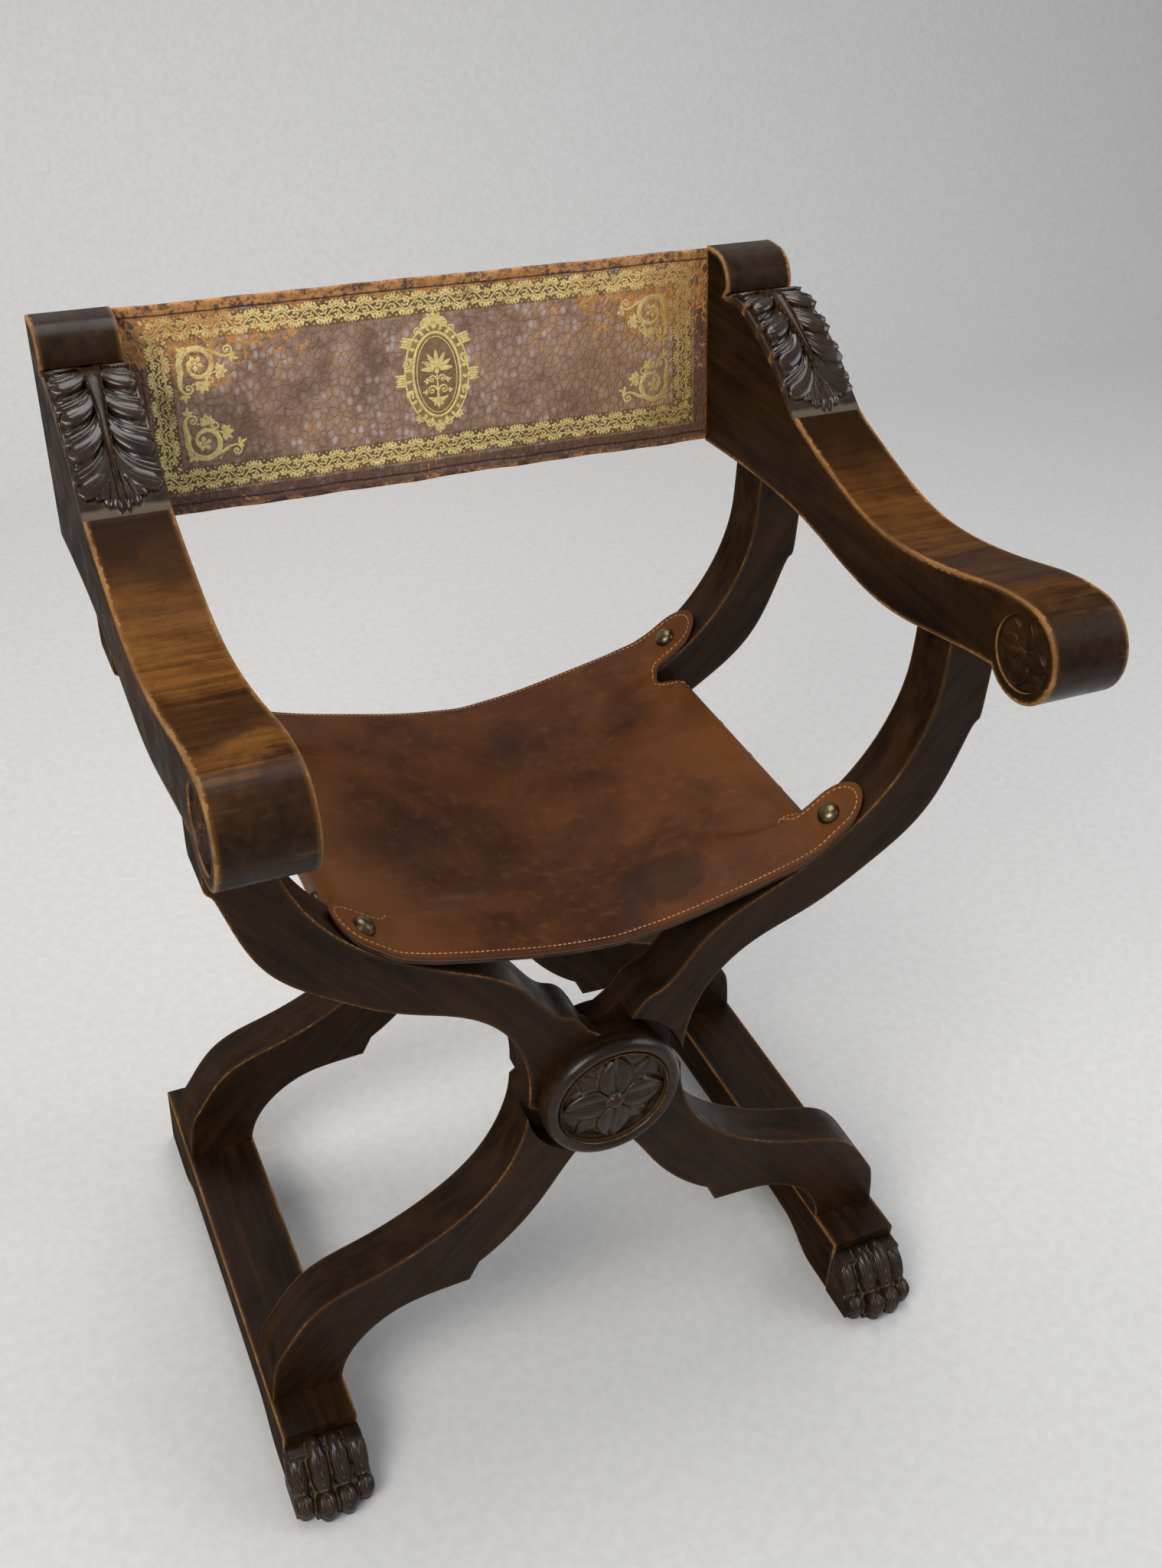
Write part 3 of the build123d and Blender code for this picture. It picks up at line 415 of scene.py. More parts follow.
class Nodes:
    """Short way to write a material's node tree."""

    def __init__(self, name):
        self.material = bpy.data.materials.new(name)
        self.material.use_nodes = True
        self.tree = self.material.node_tree
        self.tree.nodes.clear()
        self.out = self.tree.nodes.new("ShaderNodeOutputMaterial")
        self.shader = self.tree.nodes.new("ShaderNodeBsdfPrincipled")
        self.tree.links.new(self.shader.outputs[0], self.out.inputs[0])

    def node(self, kind, inputs=None, output=0, **settings):
        made = self.tree.nodes.new("ShaderNode" + kind)
        for key, value in settings.items():
            setattr(made, key, value)
        for key, value in (inputs or {}).items():
            self.set(made.inputs[key], value)
        return Value(self, made.outputs[output])

    def set(self, socket, value):
        if isinstance(value, Value):
            self.tree.links.new(value.socket, socket)
        elif isinstance(value, (tuple, list)) and socket.type == "RGBA" and len(value) == 3:
            socket.default_value = (*value, 1)
        else:
            socket.default_value = value

    def math(self, operation, a, b=0.0, clamp=False):
        return self.node("Math", {0: a, 1: b}, operation=operation, use_clamp=clamp)

    def length(self, x, y):
        flat = self.node("CombineXYZ", {0: x, 1: y})
        return self.node("VectorMath", {0: flat}, output=1, operation="LENGTH")

    def ramp(self, value, low, high, to_low=0.0, to_high=1.0):
        return self.node("MapRange", {0: value, 1: low, 2: high, 3: to_low, 4: to_high},
                         interpolation_type="SMOOTHSTEP")

    def noise(self, at, scale, detail=3.0, rough=0.55, distort=0.0):
        return self.node("TexNoise", {"Vector": at, "Scale": scale, "Detail": detail, "Roughness": rough,
                                      "Distortion": distort})

    def cells(self, at, scale, feature, output=0, **inputs):
        return self.node("TexVoronoi", {"Vector": at, "Scale": scale, **inputs}, output, feature=feature)

    def mix(self, share, a, b):
        made = self.tree.nodes.new("ShaderNodeMix")
        made.data_type = "RGBA"
        for number, value in ((0, share), (6, a), (7, b)):
            self.set(made.inputs[number], value)
        return Value(self, made.outputs[2])

    def attribute(self, name):
        return self.node("Attribute", output=2, attribute_name=name)

    def place(self, rotation=(0, 0, 0), offset=(0, 0, 0)):
        """Object coordinates, turned and moved."""
        at = self.node("TexCoord", output=3)
        return self.node("Mapping", {"Vector": at, "Location": offset, "Rotation": rotation})

    def stretch(self, at, scale, rotation=(0, 0, 0)):
        return self.node("Mapping", {"Vector": at, "Rotation": rotation, "Scale": scale})

    def bump(self, height, distance, strength):
        return self.node("Bump", {"Height": height, "Distance": distance, "Strength": strength})

    def finish(self, **inputs):
        names = {"color": "Base Color", "roughness": "Roughness", "normal": "Normal", "metallic": "Metallic",
                 "coat": "Coat Weight", "coat_roughness": "Coat Roughness", "specular": "Specular IOR Level"}
        for key, value in inputs.items():
            self.set(self.shader.inputs[names[key]], value)
        return self.material


def rubbed_top(m, color, flat, blotch, amber_share):
    """Top of an arm: dark wax, rubbed through to amber wood in some stretches along Y."""
    y = m.node("SeparateXYZ", {0: m.place()}, output=1)
    across = m.noise(m.stretch(flat, (0.10, 1, 1)), 110, 6, 0.66, 0.6) * 0.65 + blotch * 0.35
    cloud = m.noise(flat, 9, 5, 0.6, 0.3)
    drift = y + ((cloud - 0.5) * 0.16 + (across - 0.5) * 0.07)
    middle = m.ramp(drift, -0.140, -0.085) * m.ramp(drift, 0.060, 0.000)
    scroll = m.ramp(drift, -0.262, -0.240) * m.ramp(drift, -0.200, -0.226)
    rubbed = m.math("MAXIMUM", middle, scroll)
    waxed = m.mix(m.ramp(across, 0.36, 0.64), (0.022, 0.0084, 0.0030), (0.060, 0.023, 0.0066))
    waxed = m.mix(m.ramp(drift, 0.030, 0.090, 0.0, 0.8), waxed, (0.0125, 0.0056, 0.0025))
    rich = m.mix(m.ramp(across, 0.34, 0.64), tuple(0.36 * c for c in AMBER), AMBER)
    color = m.mix(m.attribute("top") * 0.85, color, m.mix(rubbed * amber_share, waxed, rich))
    scuffed = m.ramp(across, 0.56, 0.72) * m.ramp(y, -0.235, -0.262)
    return m.mix(scuffed * 0.45, color, (0.120, 0.082, 0.046))


def worn_arris(m, color, flat, streak, ragged, wear):
    """Bare wood along the arrises, with a warm halo."""
    edge = m.attribute("edge")
    patches = m.noise(flat, 16, 4, 0.6)
    reach = m.ramp(patches, 0.38, 0.62) * (1.25 * wear) * m.ramp(ragged, 0.3, 0.7, 0.2, 1.6)
    color = m.mix(m.ramp(edge, 4.1, 0.0) * (0.34 * wear), color, (0.150, 0.066, 0.019))
    bare = m.mix(m.ramp(streak, 0.35, 0.7), (0.30, 0.150, 0.048), (0.17, 0.078, 0.025))
    return m.mix(m.ramp(reach - edge, -0.75, 0.85) * 0.8, color, bare)


WALNUT = ((0.0080, 0.0044, 0.0021), (0.034, 0.0150, 0.0052))      # dark and warm grain
AMBER = (0.205, 0.079, 0.0170)


def wood(name, grain, seed, tones=WALNUT, amber_share=0.0, wear=0.65, dust=0.0, gloss=0.38, shine=0.085):
    """Old waxed wood. grain is the rotation that brings the grain onto local X."""
    m = Nodes(name)
    flat = m.place(offset=(seed * 1.37, seed * 0.71, seed * 2.13))
    along = m.place(rotation=grain, offset=(seed, seed * 0.37, seed * 0.53))
    fibre = m.noise(m.stretch(along, (0.06, 1, 1)), 900, 5, 0.62)
    streak = m.noise(m.stretch(along, (0.06, 1, 1)), 120, 5, 0.6, 0.4)
    figure = m.noise(m.stretch(along, (0.25, 1, 1)), 26, 4, 0.6, 0.9)
    blotch = m.noise(flat, 34, 4, 0.62, 0.2)
    ragged = m.noise(flat, 220, 4, 0.6)
    carved = m.attribute("carved")
    color = m.mix(m.ramp(streak * 0.5 + figure * 0.5, 0.32, 0.74), *tones)
    if amber_share:
        color = rubbed_top(m, color, flat, blotch, amber_share)
    color = m.mix(m.ramp(fibre, 0.60, 0.70) * 0.55, color, (0.006, 0.003, 0.002))
    color = worn_arris(m, color, flat, streak, ragged, wear)
    rough = m.ramp(blotch, 0.3, 0.7, gloss - 0.06, gloss + 0.14)
    if dust:
        settled = m.ramp(m.attribute("hollow") + (ragged - 0.5) * 0.5, 0.25, 0.95) * dust
        color = m.mix(settled, color, (0.090, 0.066, 0.038))
        rough = m.math("ADD", rough, settled * 0.4, clamp=True)
    scratches = m.noise(m.stretch(flat, (1, 0.06, 1), (0.4, 0.3, 0.9)), 260, 2)
    height = fibre * -0.6 + m.noise(flat, 60, 3) * 1.6 + m.ramp(scratches, 0.66, 0.8) * -0.5
    height = height * (1.0 - carved * 0.8)
    normal_x = m.node("SeparateXYZ", {0: m.node("TexCoord", output=1)})
    sideways = m.ramp(m.math("ABSOLUTE", normal_x), 0.70, 0.95)
    polish = 1.0 - sideways * 0.85
    if amber_share:
        polish = polish * (1.0 - m.attribute("top") * 0.90) * (carved * 1.2 + 0.5)
        rough = rough - carved * 0.10
    rough = m.math("ADD", rough, sideways * 0.2, clamp=True)
    return m.finish(color=color, roughness=rough, normal=m.bump(height, 0.00035, 0.5),
                    specular=polish * shine, coat=polish * (shine * 0.2), coat_roughness=0.16)


# ---- crossed members and runners -------------------------------------------
CREASE = 40                                     # degrees between faces that stay sharp
LAP_RADIUS, PIN_BORE, GAP = 73.3, 11.05, 0.3
ARM_JOINT_Z, RUNNER_JOINT_Z, TENON = 715.0, 66.5, 9.0
MEMBER_RISE, MEMBER_RUN = 657.5, 565.0
ARM_BODY = {"left": ROOT, "right": CHILD}
FOOT_BODY = {"left": CHILD, "right": ROOT}


def member(place, which):
    """Member of one frame, cut from its own node's outline, with its lap."""
    node = f"{place}_member_{which}"
    outer, inner = FRAMES[place]
    low, high = sorted((outer, inner))
    raw = node_loops(node, 1, outer if which == "a" else inner)[0]
    raw[raw[:, 1] > ARM_JOINT_Z, 1] += TENON
    raw[raw[:, 1] < RUNNER_JOINT_Z, 1] -= TENON
    loop = smooth_loop(raw, 4.0)
    build = Build()
    prism(build, loop, low, high, on_y)
    piece = build.piece(node + "_carved", CREASE)
    kept = (1 if outer > inner else -1) * (1 if which == "a" else -1)
    middle = (outer + inner) / 2
    cut_away(piece, [cylinder(LAP_RADIUS, middle + kept * GAP / 2, middle - kept * 40, 128),
                     cylinder(PIN_BORE, low - 5, high + 5, 48)])
    co = coords(piece)
    face = np.minimum(np.abs(co[:, 1] - low), np.abs(high - co[:, 1]))
    put_attribute(piece.data, "edge", distance_to_loop(co[:, [0, 2]], loop) + face)
    shade(piece.data, CREASE)
    slope = atan2(MEMBER_RISE, -MEMBER_RUN if which == "a" else MEMBER_RUN)
    return piece, node, (0, slope, 0)


for number, (place, which) in enumerate((p, w) for p in FRAMES for w in "ab"):
    piece, node, grain = member(place, which)
    rigid(piece, ROOT if which == "a" else CHILD, node,
          wood(f"walnut_{place}_{which}", grain, 3.1 + number * 4.7))


def runner(side, sign):
    """Foot rail of one side, from its own node's outline."""
    node = f"{side}_runner"
    loop = smooth_loop(node_loops(node, 0, sign * RUNNER_OUTER)[0], 6.0)
    loop[:, 1] = np.maximum(loop[:, 1], 0.0)
    low, high = sorted((sign * RUNNER_INNER, sign * RUNNER_OUTER))
    build = Build()
    prism(build, loop, low, high, on_x, bevel=1.2)
    return build.piece(node + "_planed", CREASE)


for number, (side, sign) in enumerate((("left", -1), ("right", 1))):
    rigid(runner(side, sign), FOOT_BODY[side], f"{side}_runner",
          wood(f"walnut_runner_{side}", ALONG_Y, 21.3 + 3 * number))


# ---- arms -----------------------------------------------------------------
LEAF_RUN = LEAF_UPPER - LEAF_BASE
LEAF_LENGTH = float(np.hypot(*LEAF_RUN))
HALF = (ARM_OUTER - ARM_INNER) / 2
ARM_MIDDLE = (ARM_OUTER + ARM_INNER) / 2


def swelling(share):
    """Height of the leaf's ground above its bed, along the bed."""
    curve = hermite(np.array(LEAF_SWELL) * LEAF_LENGTH, 16)
    return np.interp(np.asarray(share) * LEAF_LENGTH, curve[:, 0], curve[:, 1])


def bed_point(u, height):
    """Y and Z of a point along the leaf's bed and above it."""
    up = np.array([-LEAF_RUN[1], LEAF_RUN[0]]) / LEAF_LENGTH
    u, height = np.asarray(u, float)[..., None], np.asarray(height, float)[..., None]
    return LEAF_BASE + u * LEAF_RUN + height * up


def arm_loop():
    """Side outline of an arm with the leaf's ground in place of its lobes."""
    raw = node_loops("right_arm", 0, ARM_OUTER)[0]
    raw = raw if loop_area(raw) > 0 else raw[::-1]
    y, z = raw.T
    volute = (y > 229) & (z > 871)              # the top of the arm, just behind the leaf
    on_leaf = (z > 800) & (y > 92) & (y < 235) & ~volute
    first = np.flatnonzero(on_leaf & ~np.roll(on_leaf, 1))[0]
    kept = np.roll(raw, -first, 0)[~np.roll(on_leaf, -first)]
    u = np.linspace(1, 0, 26)[1:-1]
    ground = bed_point(u, swelling(u) * 0.74 - 1.8)
    return smooth_loop(np.vstack([ground, kept]), 4.0, 13.0)


def flower(radius, angle, reach, knob, knob_rise, petal_rise, sepal_rise, petals=4):
    """Height of a flower over its field: full petals, sepals between them and a knob."""
    scale, pitch = reach / 49.4, 2 * pi / petals

    def row(turned, width, rise):
        local = (angle - turned + pitch / 2) % pitch - pitch / 2
        s = np.clip((radius * np.cos(local) - knob * 0.5) / (reach - knob * 0.5), 0, 1)
        across = np.abs(radius * np.sin(local))
        half = width * np.sin(pi * s**0.82) ** 0.8 + 1e-6
        inner = half - across
        rim = bell(inner / scale - 1.9, 0.95)
        ribs = bell(across / scale - 1.5, 0.85) * np.clip(1.15 - s, 0, 1)
        full = np.clip((across - 1.5 * scale) / np.maximum(half - 2.5 * scale, 0.4), 0, 1)
        body = (0.50 + 0.28 * np.sin(pi * s)) * (1 + 0.55 * np.sin(pi * full)) + 0.30 * rim + 0.36 * ribs
        return np.where((s > 0) & (s < 1) & (inner > 0), rise * body * step(inner, 0.0, 1.1 * scale), 0)

    under = row(pi / petals, reach * 0.26, sepal_rise)
    over = row(0, reach * 0.36, petal_rise)
    dome = knob_rise * np.sqrt(np.clip(1 - (radius / knob) ** 2, 0, 1)) ** 0.8
    return np.maximum(np.maximum(under, over), dome)


ROSETTE_R, ROSETTE_GROUND_R, ROSETTE_DEPTH = 30.0, 28.4, 4.0


def rosette(build, sign):
    """Sunk rosette in one side of a scroll; returns its rim in Y and Z."""
    turns = 144
    rings = np.concatenate([np.linspace(0.4, ROSETTE_GROUND_R, 40), [28.9, 29.3, 29.6, ROSETTE_R]])
    radius, angle = np.meshgrid(rings, circle(turns), indexing="ij")
    height = flower(radius, angle, reach=27.6, knob=5.0, knob_rise=4.4, petal_rise=2.7, sepal_rise=1.9)
    height -= ROSETTE_DEPTH
    wall = np.clip((radius - ROSETTE_GROUND_R) / 1.2, 0, 1)
    height = height * (1 - wall) + wall * np.where(radius > 29.5, 0.0, -0.6)
    height[-1] = 0.0
    height = np.minimum(height, 0.0)
    face = ARM_OUTER if sign > 0 else ARM_INNER
    y, z = SCROLL[0] + radius * np.cos(angle), SCROLL[1] + radius * np.sin(angle)
    start = build.add(np.stack([face + sign * height, y, z], -1),
                      grid_faces(len(rings), turns, wrap=True, flip=sign < 0),
                      edge=np.where(np.abs(radius - 29.4) < 0.3, 0.4, UNWORN).ravel(),
                      hollow=0.4 * np.clip(-(height + 1.9) / 1.8, 0, 1).ravel())
    tip = build.add([face + sign * height[0].mean(), *SCROLL], [], edge=9.0)
    build.faces += fan_faces(tip, start, turns, flip=sign < 0)
    return np.stack([y[-1], z[-1]], -1)


def blur(field, radius, wrap=False):
    """Box blur of a grid, along both ways."""
    size = 2 * radius + 1
    for axis in (0, 1):
        pad = [(0, 0), (0, 0)]
        pad[axis] = (radius, radius)
        run = np.cumsum(np.pad(field, pad, mode="wrap" if wrap and axis == 1 else "edge"), axis=axis)
        run = np.concatenate([np.zeros_like(np.take(run, [0], axis)), run], axis)
        at = np.arange(field.shape[axis])
        field = (np.take(run, at + size, axis) - np.take(run, at, axis)) / size
    return field


PILLOW, VEIN_DEPTH, VEIN_WIDTH, TIP_DROP = 0.42, 0.30, 0.55, 0.22


def finger(grid, best, spine, width, level, lift, vein=1.0):
    """Lays one pointed leaflet over the heights: a pillow with a vein, along a spine."""
    x, v = grid
    low, high = spine.min(0) - width.max() - 1, spine.max(0) + width.max() + 1
    near = (x > low[0]) & (x < high[0]) & (v > low[1]) & (v < high[1])
    p = np.stack([x[near], v[near]], -1)
    run = np.diff(spine, axis=0)
    d = p[:, None] - spine[None, :-1]
    s = np.clip((d * run[None]).sum(2) / (run**2).sum(1)[None], 0, 1)
    gap = np.hypot(*(d - s[..., None] * run[None]).transpose(2, 0, 1))
    k = gap.argmin(1)
    rows = np.arange(len(p))
    along = (k + s[rows, k]) / (len(spine) - 1)
    half = np.interp(along, np.linspace(0, 1, len(width)), width)
    side = np.sign(d[rows, k, 0] * run[k, 1] - d[rows, k, 1] * run[k, 0])
    t = side * gap[rows, k] / np.maximum(half, 0.05)
    pillow = np.sqrt(np.clip(1 - t**2, 0, 1)) ** 0.85 * (0.35 + 0.65 * step(along, 0.1, 0.7))
    groove = vein * VEIN_DEPTH * bell(t * half, VEIN_WIDTH)
    groove = groove * step(along, 0.0, 0.12) * step(1.0 - along, 0.0, 0.10)
    rise = lift * step(along, 0.2, 0.8) - TIP_DROP * step(along, 0.86, 1.0)
    height = level + rise + PILLOW * pillow - groove - PILLOW
    best[near] = np.maximum(best[near], np.where(np.abs(t) < 1, height, -1))


def bezier(points, count=26):
    t = np.linspace(0, 1, count)[:, None]
    a, b, c = (np.array(p, float) for p in points)
    return (1 - t) ** 2 * a + 2 * t * (1 - t) * b + t**2 * c


def sway(u):
    """Sideways bend of the leaf's rib, along the bed."""
    return 1.5 * np.sin(np.clip(u, 0, 1) * 5.0 + 0.5)


# Lobes along each side: where the lobe springs from the rib, where its foot is, and its height.
LOBES = ((0.44, 0.130, 0.178), (0.61, 0.312, 0.184), (0.79, 0.500, 0.188), (0.975, 0.692, 0.170),
         (1.13, 0.866, 0.14))
# The three leaflets of a lobe: reach, width, depth of the vein.
LEAFLETS = ((0.97, 0.74, 0.12), (1.04, 0.52, 0.40), (0.92, 0.45, 0.40))
# Leaflets at the leaf's foot: root, tip across and along, bow across and along, width, level.
FOOT_LEAFLETS = ((0.40, 18.5, 0.105, 6.0, 0.22, 4.4, 0.74), (0.37, 10.6, 0.060, 5.2, 0.20, 4.6, 0.86))
FOOT_MIDDLE = {1: (0.34, 3.1, 0.030, 3.0, 0.20, 4.2, 0.98), -1: (0.34, 2.6, 0.030, 2.6, 0.20, 4.2, 0.98)}


def leaflets(grid, body):
    """Lays every leaflet of the leaf over the heights."""
    blade = np.linspace(0, 1, 21)
    point = np.sqrt(np.clip(1 - (np.clip(blade - 0.84, 0, 1) / 0.16) ** 2, 0, 1))
    shape = np.clip(blade * 1.25 + 0.08, 0, 1) ** 0.8 * point
    rng = np.random.default_rng(3)
    for side in (-1, 1):
        for root, low, tall in LOBES:
            for j, (reach, wide, vein) in enumerate(LEAFLETS):
                f = j / 2
                end_v = (low + tall * (0.10 + 0.72 * f)) * LEAF_LENGTH + rng.normal(0, 0.3)
                end_x = HALF * reach + rng.normal(0, 0.3)
                start = (0.5 + 1.2 * f, (root + 0.020 * f) * LEAF_LENGTH)
                bow = (1.5 + 8.5 * f, start[1] - (0.92 - 0.12 * f) * (start[1] - end_v))
                spine = bezier([start, bow, (end_x, end_v)])
                bent = sway(spine[:, 1] / LEAF_LENGTH) * (1 - spine[:, 0] / HALF)
                spine[:, 0] = side * spine[:, 0] + bent
                width = shape * (tall * LEAF_LENGTH / 3 * wide)
                finger(grid, body, spine, width, 0.88 - 0.22 * j, 0.26 - 0.03 * j, vein)
    for side in (1, -1):
        for root, end_x, end_u, bow_x, bow_u, wide, level in (*FOOT_LEAFLETS, FOOT_MIDDLE[side]):
            spine = bezier([(0.5, root), (bow_x, bow_u), (end_x, end_u)]) * (side, LEAF_LENGTH)
            spine[:, 0] += sway(spine[:, 1] / LEAF_LENGTH) * 0.8
            finger(grid, body, spine, shape * wide, level, 0.10)


def leaf_height(u, x):
    """Height of the carved leaf above its bed, its depth of carving, and where it is modelled."""
    swell = swelling(u)
    relief = np.maximum(0.30 * swell + 0.6, 4.4 * step(u, 0.02, 0.10))
    body = np.full(u.shape, -1.0)
    leaflets((x, u * LEAF_LENGTH), body)
    off = np.abs(x - sway(u))
    half_rib = 0.9 + 8.6 * np.clip(u - 0.08, 0, 1) ** 1.55
    round_rib = np.clip(1 - (off / half_rib) ** 2, 0, 1)
    convex = 1.0 - step(u, 0.25, 0.55)
    rib = 0.80 + 0.20 * convex * np.sqrt(round_rib) - 0.16 * (1 - convex) * round_rib
    rib += 0.28 * bell(off - half_rib, 0.55) * step(u, 0.12, 0.3)
    rib -= 0.9 * step(off - half_rib, 0.3, 1.6)
    body = np.maximum(body, np.where(u > 0.10, rib, -1))
    body = np.where(u < 0.022, 0, body)
    deep = np.clip(body, 0, None) * step(1.0 - u, 0.0, 0.02)
    modelled = np.where((off < half_rib) & (u > 0.1), 0.15, 1.0)
    return 0.74 * swell - 1.0 + relief * deep, deep, modelled


def leaf(build):
    """Carved leaf as a closed slab that stands in the arm's ground."""
    rows, cols = 300, 136
    spread = pi / 2 * 0.86
    across = HALF * np.sin(np.linspace(-1, 1, cols) * spread) / sin(spread)
    u, x = np.meshgrid(np.linspace(0, 1, rows), across, indexing="ij")
    height, deep, modelled = leaf_height(u, x)
    side = HALF - np.abs(x)
    height -= 0.9 * (1 - step(side, 0.0, 1.2)) ** 2
    soft = blur(height, 5)
    hollow = np.clip((soft - height) / 0.8, 0, 1) * 0.8 + step(0.22 - deep, 0.0, 0.2) * 0.9
    hollow *= 0.30 + 0.70 * np.clip(step(0.085 - u, 0, 0.04) + step(u - 0.94, 0, 0.03), 0, 1)
    edge = 7.0 - 4.9 * np.clip((height - soft - 0.5) / 0.8, 0, 1)
    edge = np.minimum(edge, side * 1.5 + 1.2 + 2.0 * step(0.3 - deep, 0, 0.3))
    foot = bed_point(u[:, :1], np.maximum(swelling(u[:, :1]) * 0.5, 0) - 3.0)
    left, right = (np.concatenate([np.full((rows, 1, 1), ARM_MIDDLE + way * (HALF + 0.04)), foot], 2)
                   for way in (-1, 1))
    top = np.concatenate([ARM_MIDDLE + x[..., None] * 1.0012, bed_point(u, height)], 2)
    grid = np.pad(np.concatenate([left, top, right], 1), ((1, 1), (0, 0), (0, 0)), mode="edge")
    for row, end in ((0, 0.0), (-1, 1.0)):
        grid[row, :, 1:] = bed_point(end, -4.0)
    fields = {"carved": modelled, "edge": edge, "hollow": np.clip(hollow, 0, 1)}
    wide = cols + 2
    start = build.add(grid, grid_faces(rows + 2, wide, flip=True),
                      **{key: np.pad(field, 1, mode="edge").ravel() for key, field in fields.items()})
    near = start + np.arange(rows + 2) * wide
    far = near + wide - 1
    build.faces += [[near[i], near[i + 1], far[i + 1], far[i]] for i in range(1, rows)]
    build.faces += [[*range(near[0], far[0] + 1), far[1], near[1]],
                    [near[rows], far[rows], *range(far[rows + 1], near[rows + 1] - 1, -1)]]


def arm(side):
    """Carved arm: a bar with two sunk rosettes in its scroll and the leaf on its rear."""
    build = Build()
    rims = {1: rosette(build, 1), 0: rosette(build, -1)}
    prism(build, arm_loop(), ARM_INNER, ARM_OUTER, on_x, bevel=1.3, rings=(0.8, 2.2, 4.2), holes=rims)
    leaf(build)
    piece = build.piece(f"{side}_arm_carved", 42)
    _, y, z = coords(piece).T
    up = step(read(piece.data, "normal")[:, 2], 0.2, 0.65)
    top = (0.22 + 0.78 * up) * step(104 - y, 0, 14) * step(z, 735, 765) * (1 - 0.75 * step(-y, 232, 270))
    put_attribute(piece.data, "top", top)
    if side == "left":
        mirror(piece)
    return piece


for number, side in enumerate(("left", "right")):
    rigid(arm(side), ARM_BODY[side], f"{side}_arm",
          wood(f"walnut_arm_{side}", ALONG_Y, 41.7 + 5 * number, amber_share=0.85 - 0.5 * number,
               wear=1.5, dust=0.8, gloss=0.28, shine=0.24))


# ---- roundels --------------------------------------------------------------
ROUNDEL_R, CREST = 63.5, 56.6           # outer radius, and radius of the bead's crest
FIELD_R, LIP_R, BEAD_R = 48.4, 49.8, 50.9       # flowered field, lip round it and foot of the bead
FIELD_RISE, LIP_RISE, RIM_RISE = 9.4, 17.7, 8.4


def roundel(place):
    """Turned patera with its carved flower, over one hub."""
    outer, inner = FRAMES[place]
    outward, turns = (1 if outer > inner else -1), 240
    lip_rings = [48.2, 48.6, 49.0, 49.4, 49.9, 50.4, 50.8, 51.2, 51.9]
    bead_rings = CREST + (ROUNDEL_R - CREST) * np.sin(np.linspace(-0.66, pi / 2, 26))
    back_rings = [ROUNDEL_R, ROUNDEL_R - 0.2, ROUNDEL_R - 0.6]
    rings = np.concatenate([np.linspace(0.5, 47.6, 62), lip_rings, bead_rings, back_rings])
    radius, angle = np.meshgrid(rings, circle(turns), indexing="ij")
    petals = flower(radius, angle, reach=48.0, knob=8.3, knob_rise=9.4, petal_rise=4.9, sepal_rise=2.4)
    field = FIELD_RISE + 4.8 * (1 - (radius / 49) ** 2) + petals
    rounding = np.sqrt(np.clip(1 - ((radius - CREST) / (ROUNDEL_R - CREST)) ** 2, 0, 1))
    rise = 16.0 + 2.6 * np.sin(pi / 2 * (radius - BEAD_R) / (CREST - BEAD_R))
    bead = np.where(radius < CREST, rise, RIM_RISE + 10.2 * rounding)
    lip = LIP_RISE * np.exp(-(np.abs(radius - LIP_R) / 0.85) ** 4)
    height = np.where(radius < FIELD_R, field, np.maximum(np.where(radius > 50.3, bead, 13.0), lip))
    height[-3:] = np.array([RIM_RISE, 4.0, 0.05])[:, None]
    soft = blur(height, 3, wrap=True)
    hollow = np.clip((soft - height) / 0.6, 0, 1) * (radius < 49.2)
    edge = 8.0 - 7.8 * bell(np.abs(radius - LIP_R), 0.8)
    edge = np.minimum(edge, 8.0 - 5.2 * np.clip((height - soft - 0.3) / 0.7, 0, 1))
    points = np.stack([radius * np.cos(angle), outer + outward * height, HUB_Z + radius * np.sin(angle)], -1)
    build = Build()
    start = build.add(points, grid_faces(len(rings), turns, wrap=True, flip=outward > 0),
                      edge=edge.ravel(), hollow=hollow.ravel())
    tip = build.add([0, outer + outward * height[0].mean(), HUB_Z], [], edge=9.0)
    back = build.add([0, outer + outward * 0.05, HUB_Z], [], edge=9.0)
    build.faces += fan_faces(tip, start, turns, flip=outward > 0)
    build.faces += fan_faces(back, start + (len(rings) - 1) * turns, turns, flip=outward < 0)
    return build.piece(f"{place}_roundel_carved", 50)


for number, place in enumerate(FRAMES):
    rigid(roundel(place), ROOT, f"{place}_roundel",
          wood(f"walnut_roundel_{place}", (0, 0, 0), 71.3 + 7 * number,
               wear=1.1, dust=0.45, gloss=0.18, shine=0.24))


# ---- paws ------------------------------------------------------------------
PAW_X, PAW_BACK, PAW_REACH, PAW_HALF = 277.5, -195.5, 56.2, 36.1
INSTEP = 0.86                                    # slope of the toes' upper joints, in radians
# Toes: place across, reach forwards, height, half width.
TOES = ((-26.8, 47, 55, 9.5), (-9.0, 56, 61, 10.1), (9.0, 56, 61, 10.1), (26.8, 47, 55, 9.5))
# Joints of a toe: place forwards and up, length, thickness, slope, width.
JOINTS = ((0.31, 0.615, 0.48, 0.27, INSTEP, 1.0), (0.745, 0.255, 0.25, 0.265, 0.25, 0.97),
          (0.66, 0.13, 0.30, 0.15, 0.0, 0.93))
# Side view of the web between toes, as shares of reach and height; 1 is the paw's back.
WEB = ((1, 0), (-0.80, 0), (-0.76, 0.26), (-0.52, 0.50), (-0.30, 0.72), (-0.10, 0.84), (1, 0.84))


